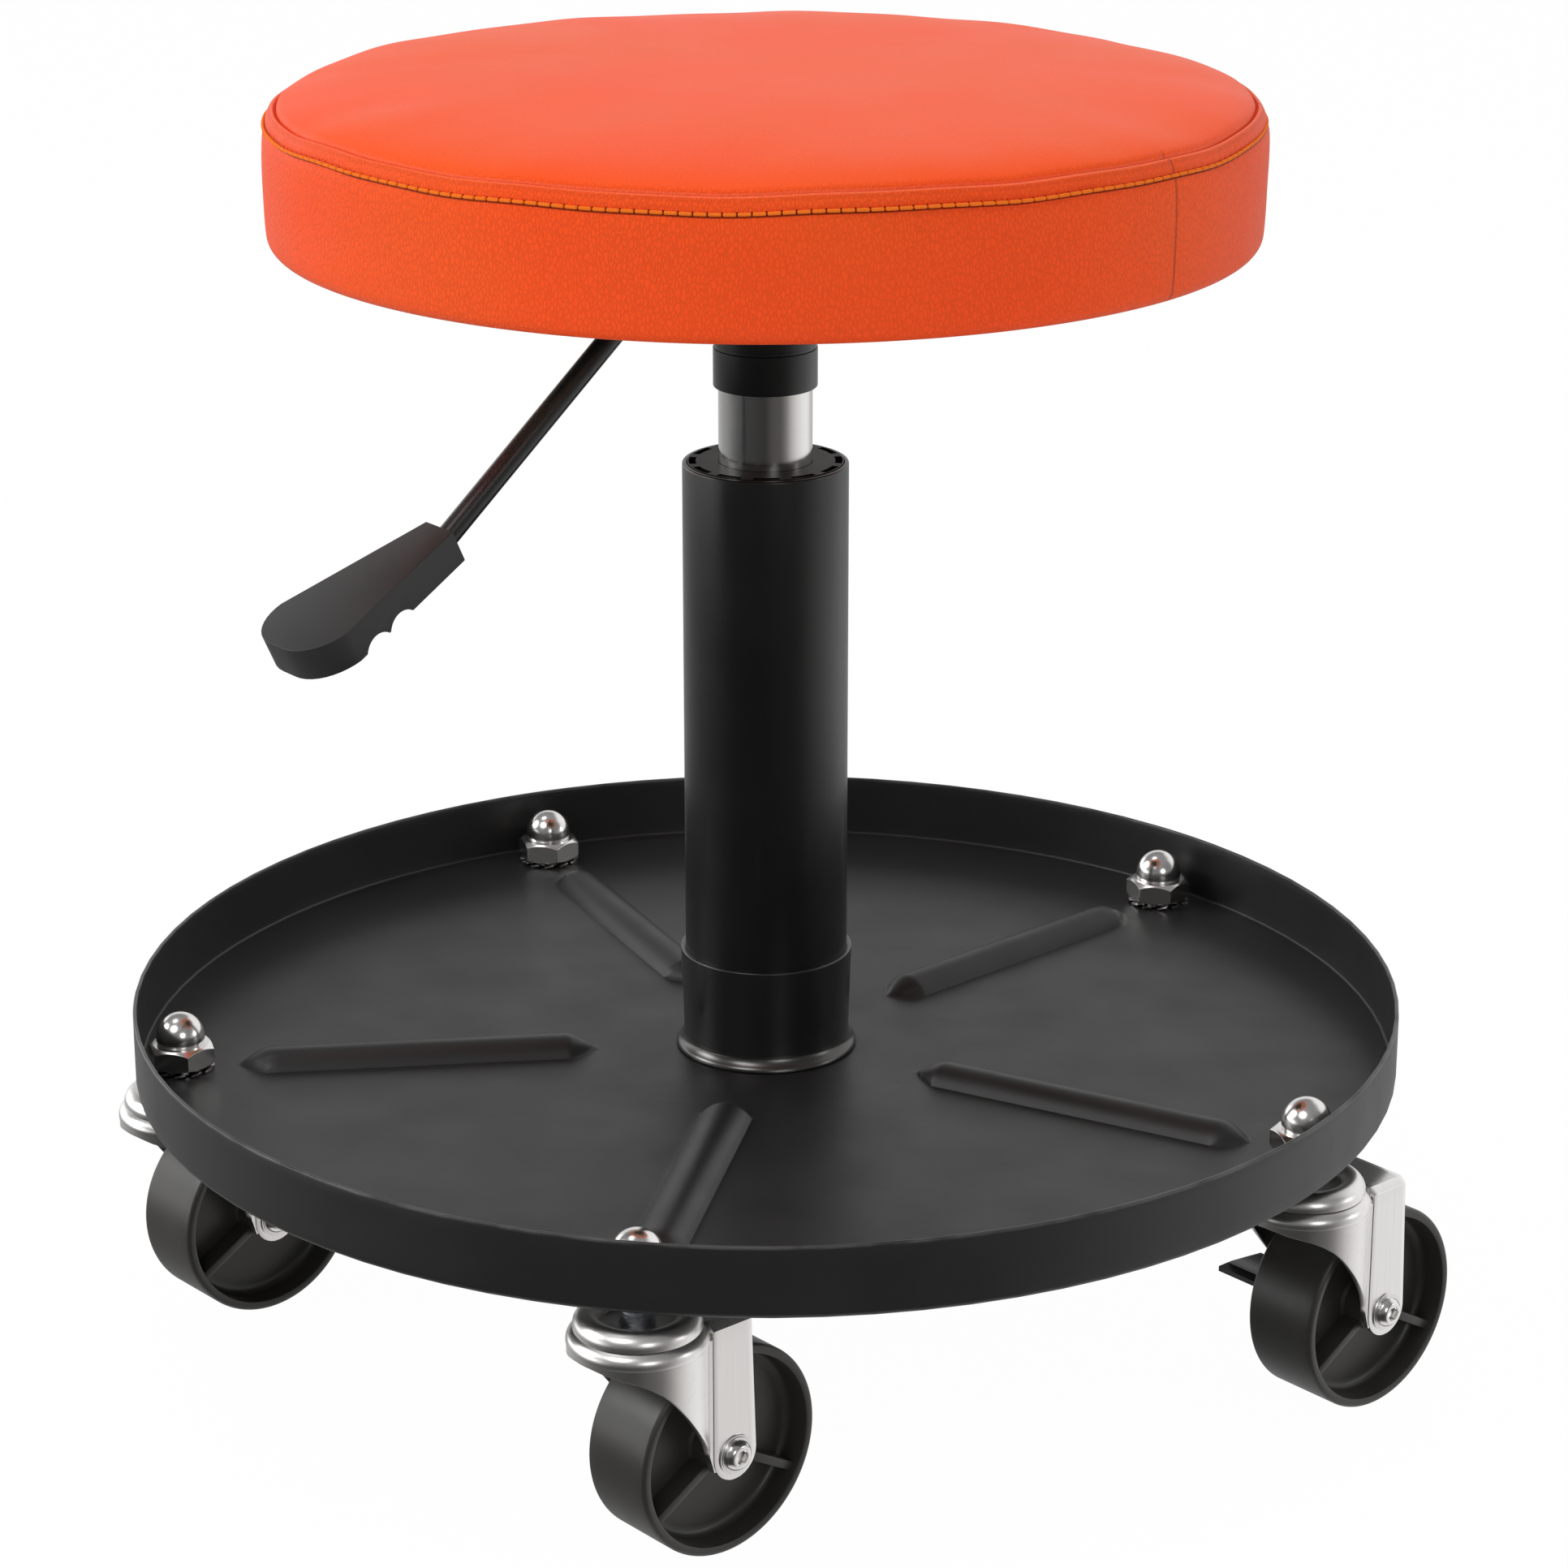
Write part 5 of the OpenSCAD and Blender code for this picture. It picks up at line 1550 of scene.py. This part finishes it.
@dataclass
class Caster:
    """One swivel caster: stem, race, fork, screw and wheel, modelled once about its own stem."""

    trail_azimuth: float = 52.5
    trail: float = 22.8
    axle_z: float = 31.5
    fork_top: float = 73.4
    gap: float = 25.6
    plate: float = 1.6
    leg_r: float = 7.7
    lean: float = 1.6
    fold: float = 1.5
    head_r: float = 20.0
    roll_r: float = 3.6
    skirt_r: float = 19.0
    recess: float = 0.2
    sweep: tuple[Pair, ...] = (
        (-18.8, 67.6), (-17.0, 66.6), (-12.3, 64.9), (-9.4, 63.2), (-6.3, 60.8), (-3.9, 58.3), (-1.3, 55.1),
        (1.7, 51.2), (5.1, 46.4), (8.9, 40.9), (11.6, 36.8), (13.5, 33.4), (14.6, 30.6), (15.3, 28.0),
    )  # fmt: skip
    bevel: float = 1.0
    ball_ring: Pair = (14.0, 74.19)
    groove_r: float = 2.25
    race_r: float = 4.1
    tray_z: float = 83.2
    stem_r: float = 5.0
    stem_top: float = 97.2
    thread: Pair = (1.15, 0.75)
    wheel_r: float = 31.5
    wheel_w: float = 24.4
    wall: float = 3.0
    web: float = 7.4
    hub_r: float = 7.5
    spokes: int = 3
    spoke_w: float = 2.7
    key_af: float = 3.9
    braked: int = 2
    brake_w: float = 1.7

    def trailing(self) -> Matrix:
        """The fork's frame: X along the trail, Y along the axle."""
        return turned(self.trail_azimuth, "Z")

    def axle(self) -> Matrix:
        """The wheel's frame: Z along the axle towards the viewer's side."""
        return self.trailing() @ shifted(self.trail, 0, self.axle_z) @ turned(90, "X")

    def build(self) -> None:
        """Models each piece once and sets it at the five stems."""
        stems, races = [], []
        stem, race, fork, wheel = self._stem(), self._race(), self._fork(), self._wheel()
        screws = [self._screw(0.0), self._screw(self.brake_w)]
        for k in range(STEMS):
            number, place = k + 1, stem_place(k)
            stems.append(Bench.copy(stem, "stem", place))
            races.append(Bench.copy(race, "race", place))
            screw = screws[number == self.braked]
            for trial, name, finish, slot, node in (
                (fork, "fork_pressed", FINISH.pressed, "bright_nickel", "fork"),
                (wheel, "wheel_moulded", FINISH.wheel, "wheel_plastic", "wheel"),
                (screw, "axle_bolt", FINISH.nickel, "bright_nickel", "axle_screw"),
            ):
                made = Bench.copy(trial, f"{name}_{number}", place)
                dress(made, finish, [f"{node}_{number}"])
        Bench.discard(stem, race, fork, wheel, *screws)
        dress(Bench.weld("threaded_stems", stems), FINISH.zinc, ["caster_stems"], angle=25)
        dress(Bench.weld("polished_races", races), FINISH.pressed, ["caster_races"])

    def _stem(self) -> Piece:
        """Turns a riveted spindle with a threaded stem and a flange under the tray.

        Returns:
            The stem.
        """
        rivet = [(0, 63.3), (6.5, 63.3), (8.6, 63.6), (9.4, 64.4), (9.5, 65.4), (9.2, 66.05), (6.8, 66.05)]
        r, under, flange, (pitch, depth) = self.stem_r, self.tray_z, 7.25, self.thread
        thread = [(6.8, self.fork_top - 0.1), (r, self.fork_top - 0.1)]
        z = self.fork_top
        while z < under - 2.6:
            thread += [(r, z + 0.1), (r - depth, z + 0.6), (r, z + 1.1)]
            z += pitch
        top = [(r, under - 1.75), (flange - 0.25, under - 1.7), (flange, under - 1.4), (flange, under)]
        top += [(r, under), (r, self.stem_top), (0, self.stem_top)]
        return Bench.lathe("stem_trial", rivet + thread + top, 48)

    def _race(self) -> Piece:
        """Turns the polished upper race with its sunk floor.

        Returns:
            The race.
        """
        section = arc(self.ball_ring, self.race_r, -11, 172, 24)
        section += [(10.1, 74.71), (5.05, 74.71), (5.05, 73.31), (11.6, 73.31)]
        section += arc(self.ball_ring, self.groove_r, 200, -8, 16)
        return Bench.lathe("race_trial", section, shape=Shape.CLOSED)

    def _fork(self) -> Piece:
        """Joins the pressed fork from its rolled head, swept skirt, straps and bosses.

        Returns:
            The fork, with its two finishes.
        """
        shells = [self._head(), self._skirt(), self._strap()]
        outside, bore = self.gap / 2 + self.plate, 2.55
        profile = [(bore, 0), (5.95, 0), (5.95, 0.25), (5.75, 0.45), (5.35, 0.45), (5.2, 0.7), (bore, 0.7)]
        for side in Side:
            boss = Bench.lathe("boss_trial", profile, 48, shape=Shape.CLOSED)
            move = shifted(self.trail, -side.value * outside, self.axle_z)
            shells.append(Bench.place(boss, turned(90 * side.value, "X"), move))
        for shell, number in zip(shells, (0, 0, 1, 0, 0)):
            paint_faces(shell, [FINISH.pressed, FINISH.strap], lambda _: number)
        return Bench.place(Bench.weld("fork_trial", shells), self.trailing())

    def _head(self) -> Piece:
        """Turns the round head, rolled at its edge, with the groove for the balls.

        Returns:
            The head.
        """
        roll = self.head_r - self.roll_r
        low = self.fork_top - 2 * self.roll_r
        section = [(6.85, low + 2.3), (roll - 1.2, low + 2.3)]
        section += arc((roll, low + self.roll_r), self.roll_r, -16, 94, 20)
        section += arc(self.ball_ring, self.groove_r, -22, -98, 8)
        section += [(13.1, 70.6), (13.0, 69.2), (12.4, 68.8), (6.85, 68.8)]
        return Bench.lathe("head_trial", section, 120, shape=Shape.CLOSED)

    def _skirt(self) -> Piece:
        """Presses the skirt below the head, swept away in front and run into the legs.

        Returns:
            The skirt.
        """
        straight, half = 8, self.gap / 2 + self.plate / 2 - self.recess
        start = math.sqrt(self.skirt_r**2 - half**2)
        join = math.acos(start / self.skirt_r)
        around, down = 126, 16
        reach = self.trail - 2.0

        def form(i: float, j: float) -> Point:
            """Place of one point of the skirt's sheet.

            Args:
                i: Number of the column, from one leg round the back to the other.
                j: Number of the row, from the head down.

            Returns:
                The point, where (u, v) lie along the trail and the axle.
            """
            if i < straight or i > around - straight:
                share = (straight - i if i < straight else i - around + straight) / straight
                u, v = start + (reach - start) * share, half if i < straight else -half
            else:
                turn = join + (ROUND - 2 * join) * (i - straight) / (around - 2 * straight)
                u, v = self.skirt_r * math.cos(turn), self.skirt_r * math.sin(turn)
            low = self._swept(u)
            top = self.fork_top - (self.bevel if u > self.head_r - 4 else self.roll_r) - 0.8
            return (u, v, top + (low - top) * j / down)

        skirt = Bench.thicken(Bench.sheet("skirt_trial", around, down, form), self.plate)
        return Bench.ease_edges(skirt, 0.3, 2, 50)

    def _swept(self, u: float) -> float:
        """Height of the skirt's lower edge.

        Args:
            u: The place along the trail.

        Returns:
            The height between two points of the sweep.
        """
        for (u0, z0), (u1, z1) in zip(self.sweep, self.sweep[1:]):
            if u <= u1:
                return z0 + (z1 - z0) * max(0.0, u - u0) / (u1 - u0)
        return self.sweep[-1][1]

    def _strap(self) -> Piece:
        """Presses the strap that makes both legs and runs over the wheel.

        Returns:
            The strap.
        """
        half, r = self.gap / 2 + self.plate / 2, self.leg_r
        top, axle, cells, rise = self.fork_top - self.plate / 2, self.axle_z, 8, 8
        rows: list[Triple] = []
        for degrees in (6, 16, 28, 40, 52, 64, 77, 90):
            down, wide = polar(r, degrees)
            rows.append((-half, axle - down, wide))
        rows += [(-half, axle + k * (top - self.fold - axle) / rise, r) for k in range(1, rise + 1)]
        rows += [(v, top, r) for v in (-half + self.fold, -8.0, -4.0, 0.0)]
        rows += [(-v, z, wide) for v, z, wide in reversed(rows[:-1])]

        def form(i: float, j: float) -> Point:
            """Place of one point of the strap's sheet.

            Args:
                i: Number of the cell across the strap.
                j: Number of the row, from the foot of one leg to that of the other.

            Returns:
                The point.
            """
            v, z, wide = rows[round(j)]
            lean = self.lean * max(0.0, z - axle) / (self.fork_top - axle)
            left, right = self.trail - wide, self.trail + wide - lean
            if z > top - 0.1:
                left = max(left, math.sqrt(max(0.0, (self.head_r - self.roll_r) ** 2 - v * v)))
            return (left + (right - left) * i / cells, v, z)

        strap = Bench.thicken(Bench.sheet("strap_trial", cells, len(rows) - 1, form), self.plate)
        return Bench.ease_edges(strap, 0.3, 3, 40)

    def _screw(self, extra: float) -> Piece:
        """A button-head axle screw with a socket for a hex key.

        Args:
            extra: How much longer the screw is, where it also holds the brake.

        Returns:
            The screw, in the caster's frame.
        """
        face = self.gap / 2 + self.plate + 0.7
        tip = -face - extra - 3.6
        section = [(0, tip), (2.1, tip), (2.5, tip + 0.4), (2.5, face), (4.6, face), (4.6, face + 0.4)]
        section += flowing([(4.5, face + 0.75), (4.1, face + 1.4), (3.5, face + 2.05), (3.1, face + 2.3)])
        screw = Bench.lathe("screw_trial", [*section, (0, face + 2.3)], 64)
        Bench.carve(screw, Bench.slab("key_tool", hexagon(self.key_af), face + 0.7, face + 3.0))
        Bench.ease_edges(screw, 0.1, 2, 50)
        return Bench.place(screw, self.axle())

    def _wheel(self) -> Piece:
        """Moulds the wheel with deep hollows, a hub and thin spokes on each side.

        Returns:
            The wheel, in the caster's frame.
        """
        half, r, inner = self.wheel_w / 2, self.wheel_r, self.wheel_r - self.wall
        hub, web = self.hub_r, self.web / 2
        one = [(4.05, half - 1.2), (4.35, half - 1.0), (hub - 0.4, half - 1.0), (hub, half - 1.4)]
        one += [(hub + 0.15, web + 0.9), (hub + 0.9, web), (inner - 3.0, web - 0.02)]
        one += arc((inner - 2.4, web + 2.4), 2.4, -75, 0, 5)
        one += [(inner + 0.1, half - 0.55), (inner + 0.25, half - 0.15), (inner + 0.6, half)]
        one += arc((r - 1.25, half - 1.25), 1.25, 88, 0, 7)
        one += [(r, half - 4.0), (r, half - 8.0)]
        both = one + [(radius, -z) for radius, z in reversed(one)]
        shells = [Bench.lathe("wheel_trial", both, 144, shape=Shape.CLOSED)]
        for k in range(self.spokes):
            Bench.clear()
            bpy.ops.mesh.primitive_cube_add(size=1.0)
            spoke = Bench.named("spoke_trial")
            Bench.edit()
            reach = inner + 0.8 - (hub - 0.6)
            size = (reach * MM, self.spoke_w * MM, (self.wheel_w - 3.6) * MM)
            bpy.ops.transform.resize(value=size, center_override=(0, 0, 0))
            bpy.ops.transform.translate(value=((hub - 0.6 + reach / 2) * MM, 0, 0))
            Bench.leave()
            Bench.ease_edges(spoke, 0.35, 2, 30)
            shells.append(Bench.place(spoke, turned(90 + 360 / self.spokes * k, "Z")))
        return Bench.place(Bench.weld("wheel_trial", shells), self.axle())


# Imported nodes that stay


@dataclass
class FrameParts:
    """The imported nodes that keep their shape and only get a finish, told by how their names begin."""

    finishes: tuple[tuple[Finish, str], ...] = (
        (FINISH.plywood, "seat_board"),
        (FINISH.tube, "seat_plate lever_bracket column_foot"),
        (FINISH.gloss, "lever_rod"),
        (FINISH.zinc, "seat_screws board_t_nuts lever_pin release_pin cylinder_valve rod_washer"),
        (FINISH.zinc, "column_washer retaining_clip axle_sleeve"),
        (FINISH.alloy, "cylinder_gland piston"),
        (FINISH.rubber, "rod_buffer"),
        (FINISH.chrome, "thrust_balls caster_balls"),
        (FINISH.nickel, "axle_nut"),
        (FINISH.brake, "brake_lever"),
    )

    def build(self) -> None:
        """Puts each finish on its nodes."""
        for name, node in sorted(frame["nodes"].items()):
            for finish, starts in self.finishes:
                if name.startswith(tuple(starts.split())):
                    node.data.materials.clear()
                    node.data.materials.append(finish.material())
                    log.info("%s: finish %s", name, finish.name)


# Studio


@dataclass(frozen=True)
class Glow:
    """A small soft lamp that only mirrored light shows, told by its direction from the stool."""

    turn: float
    rise: float
    spread: float
    strength: float

    def aim(self) -> Triple:
        """The direction as a vector of length one."""
        across, up = polar(1.0, self.rise)
        return (*polar(across, self.turn), up)


@dataclass
class Studio:
    """The pale floor and backdrop, the softboxes and the camera."""

    camera_at: Triple = (242.51, -1217.6, 597.94)
    camera_turn: float = 11.009
    camera_down: float = 19.054
    lens: float = 98.276
    floor_half: float = 6.0
    aim_z: float = 0.22
    world: float = 0.42
    ring: tuple[Point, ...] = (
        (-180, 0.24), (-165, 0.12), (-150, 0.06), (-100, 0.042), (-79, 0.036, 0.05), (-62, 0.085, 0.1),
        (-40, 0.1, 0.08), (-26, 0.22, 0.06), (-12, 0.52, 0.05), (5, 0.78, 0.03), (25, 0.95), (45, 0.98),
        (66, 0.55), (100, 0.62), (130, 0.5), (155, 0.36), (180, 0.24),
    )  # fmt: skip
    skyline: tuple[Point, ...] = (
        (-180, 0.08), (-30, 0.08), (0, 0.2), (15, 0.66), (65, 0.66), (90, 0.42), (140, 0.36), (170, 0.14),
        (180, 0.08),
    )  # fmt: skip
    horizon: tuple[Point, ...] = (
        (-180, 0.7), (-160, 1.0), (-145, 0.7), (-125, 0.22), (-79, 0.12), (-50, 0.14), (-26, 0.25),
        (-12, 0.5), (5, 0.8), (45, 1.0), (100, 0.88), (135, 0.75), (180, 0.7),
    )  # fmt: skip
    band_gain: float = 3.2
    glows: tuple[Glow, ...] = (
        Glow(-172, 30, 8.5, 8.0),
        Glow(-115, 49, 8.5, 6.0),
        Glow(-59, 21, 6.5, 4.5),
        Glow(3.6, 12, 5.0, 4.0),
        Glow(166, 71, 6.0, 3.0),
    )
    lamps: tuple[tuple[str, Point, Point, float], ...] = (
        ("key_softbox", (-1.75, -1.0, 1.5), (1.4, 1.4), 28.0),
        ("top_softbox", (0.15, 0.2, 2.3), (1.8, 1.4), 15.0),
        ("right_strip", (1.9, -0.5, 0.9), (0.5, 1.6), 6.0),
        ("front_strip", (0.3, -2.4, 0.6), (0.9, 1.3), 6.0),
    )

    def build(self) -> None:
        """Sets the view, the stage, the lamps and the world."""
        bpy.context.scene.view_settings.view_transform = "Standard"
        self._camera()
        self._stage()
        for lamp in self.lamps:
            self._lamp(*lamp)
        self._world()

    def _camera(self) -> None:
        """The camera at the photograph's view."""
        bpy.ops.object.camera_add(location=Vector(self.camera_at) * MM)
        camera = bpy.context.object
        camera.name = "view_camera"
        turn, down = math.radians(self.camera_turn), math.radians(90 - self.camera_down)
        camera.rotation_euler = (down, 0.0, turn)
        camera.data.lens = self.lens
        camera.data.sensor_width = 36.0
        camera.data.clip_end = 40.0
        bpy.context.scene.camera = camera

    def _stage(self) -> None:
        """A floor that runs up into a backdrop behind the stool."""
        Bench.clear()
        bpy.ops.mesh.primitive_plane_add(size=2 * self.floor_half)
        floor = Bench.named("studio_floor")
        for vertex in floor.data.vertices:
            vertex.select = vertex.co.y > 0
        for edge in floor.data.edges:
            edge.select = all(floor.data.vertices[v].select for v in edge.vertices)
        for face in floor.data.polygons:
            face.select = False
        bpy.ops.object.mode_set(mode="EDIT")
        bpy.ops.mesh.extrude_region_move(TRANSFORM_OT_translate={"value": (0, 0, self.floor_half)})
        Bench.leave()
        Bench.ease_edges(floor, 1500.0, 10, 60)
        Bench.soften(floor, 60)
        made = bpy.data.materials.new("finish_studio_paper")
        made.use_nodes = True
        graph = Graph(made.node_tree)
        (seen,) = graph.rays("Camera")
        fibre = graph.noise(900.0, 3.0)
        links = {"Color": graph.mix(fibre * 0.3, grey(0.9), grey(0.86))}
        paper = graph.node("ShaderNodeBsdfDiffuse", links=links)
        white = graph.node("ShaderNodeEmission", links={"Color": (1, 1, 1, 1), "Strength": 1.0})
        graph.end("Material", graph.node("ShaderNodeMixShader", links={0: seen * 0.985, 1: paper, 2: white}))
        floor.data.materials.append(made)
        floor.visible_glossy = False

    def _lamp(self, name: str, place: Point, size: Point, power: float) -> None:
        """Adds a softbox that points at the middle of the stool.

        Args:
            name: The lamp's name.
            place: Where it stands, in metres.
            size: Its width and height in metres.
            power: Its power in watts.
        """
        bpy.ops.object.light_add(type="AREA", location=place)
        lamp = bpy.context.object
        lamp.name = name
        lamp.data.shape = "RECTANGLE"
        lamp.data.size, lamp.data.size_y = size
        lamp.data.energy = power
        lamp.visible_glossy = False
        aim = Vector((0, 0, self.aim_z)) - Vector(place)
        lamp.rotation_euler = aim.to_track_quat("-Z", "Y").to_euler()

    def _mirrored(self, graph: Graph, way: Wire) -> Wire:
        """What polished metal mirrors: a white side and back, a dark front and small soft lamps.

        Args:
            graph: The world's nodes.
            way: The direction of sight.

        Returns:
            The colour seen that way.
        """
        x, y, z = graph.axes(way)
        turn = y.apply("ARCTAN2", x) / ROUND + 0.5
        around = self._round(graph, turn, self.ring)
        level, left = self._round(graph, turn, self.horizon), (0 - x).between(0.55, 0.9)
        level = graph.mix(left, level, level * self.band_gain)
        around = graph.mix(z.between(-0.17, 0.0), around, level)
        top = self._round(graph, turn, self.skyline)
        above = graph.mix(z.between(0.5, 0.95), grey(0.2), grey(0.27))
        room = graph.mix((z - top).between(0.0, 0.22), around, above)
        room = graph.mix((0 - z).between(0.8, 0.97), room, grey(0.8))
        settings = {"operation": "DOT_PRODUCT"}
        for glow in self.glows:
            near = graph.node("ShaderNodeVectorMath", settings, {0: way, 1: glow.aim()}, "Value")
            reach = [math.cos(math.radians(glow.spread * k)) for k in (1.9, 0.1)]
            room = graph.mix(near.between(*reach), room, grey(glow.strength))
        return room

    @staticmethod
    def _round(graph: Graph, turn: Wire, table: Sequence[Point]) -> Wire:
        """A colour that runs through stops all the way round.

        Args:
            graph: The world's nodes.
            turn: The direction as a share of the full turn.
            table: For each stop its direction in degrees, its value and, where it has one, its warmth.

        Returns:
            The colour in that direction.
        """
        stops = []
        for degrees, value, *warmth in table:
            warm = sum(warmth)
            stops.append(((degrees + 180) / 360, (value, value * (1 - warm / 2), value * (1 - warm))))
        return graph.node("ShaderNodeValToRGB", {"stops": stops}, {0: turn})

    def _world(self) -> None:
        """An even grey room that the camera sees as white and polished metal as a studio."""
        world = bpy.data.worlds.new("studio_world")
        bpy.context.scene.world = world
        world.use_nodes = True
        graph = Graph(world.node_tree)
        seen, glossy, through = graph.rays("Camera", "Glossy", "Transmission")
        way = graph.node("ShaderNodeTexCoord", output="Generated")
        up = graph.axes(way)[2].between(-0.1, 0.9)
        room = graph.mix(up, grey(self.world * 0.85), grey(self.world * 1.25))
        colour = graph.mix(glossy, room, self._mirrored(graph, way))
        colour = graph.mix(seen.apply("MAXIMUM", through), colour, grey(1.0))
        graph.end("World", graph.node("ShaderNodeBackground", links={"Color": colour, "Strength": 1.0}))


def main() -> None:
    """Builds the stool's sub-assemblies in order."""
    logging.basicConfig(level=logging.INFO, format="%(message)s")
    Studio().build()
    FrameParts().build()
    Cushion().build()
    SeatCarrier().build()
    LeverGrip().build()
    GasColumn().build()
    ToolTray().build()
    StemFasteners().build()
    Caster().build()


if __name__ == "__main__":
    main()
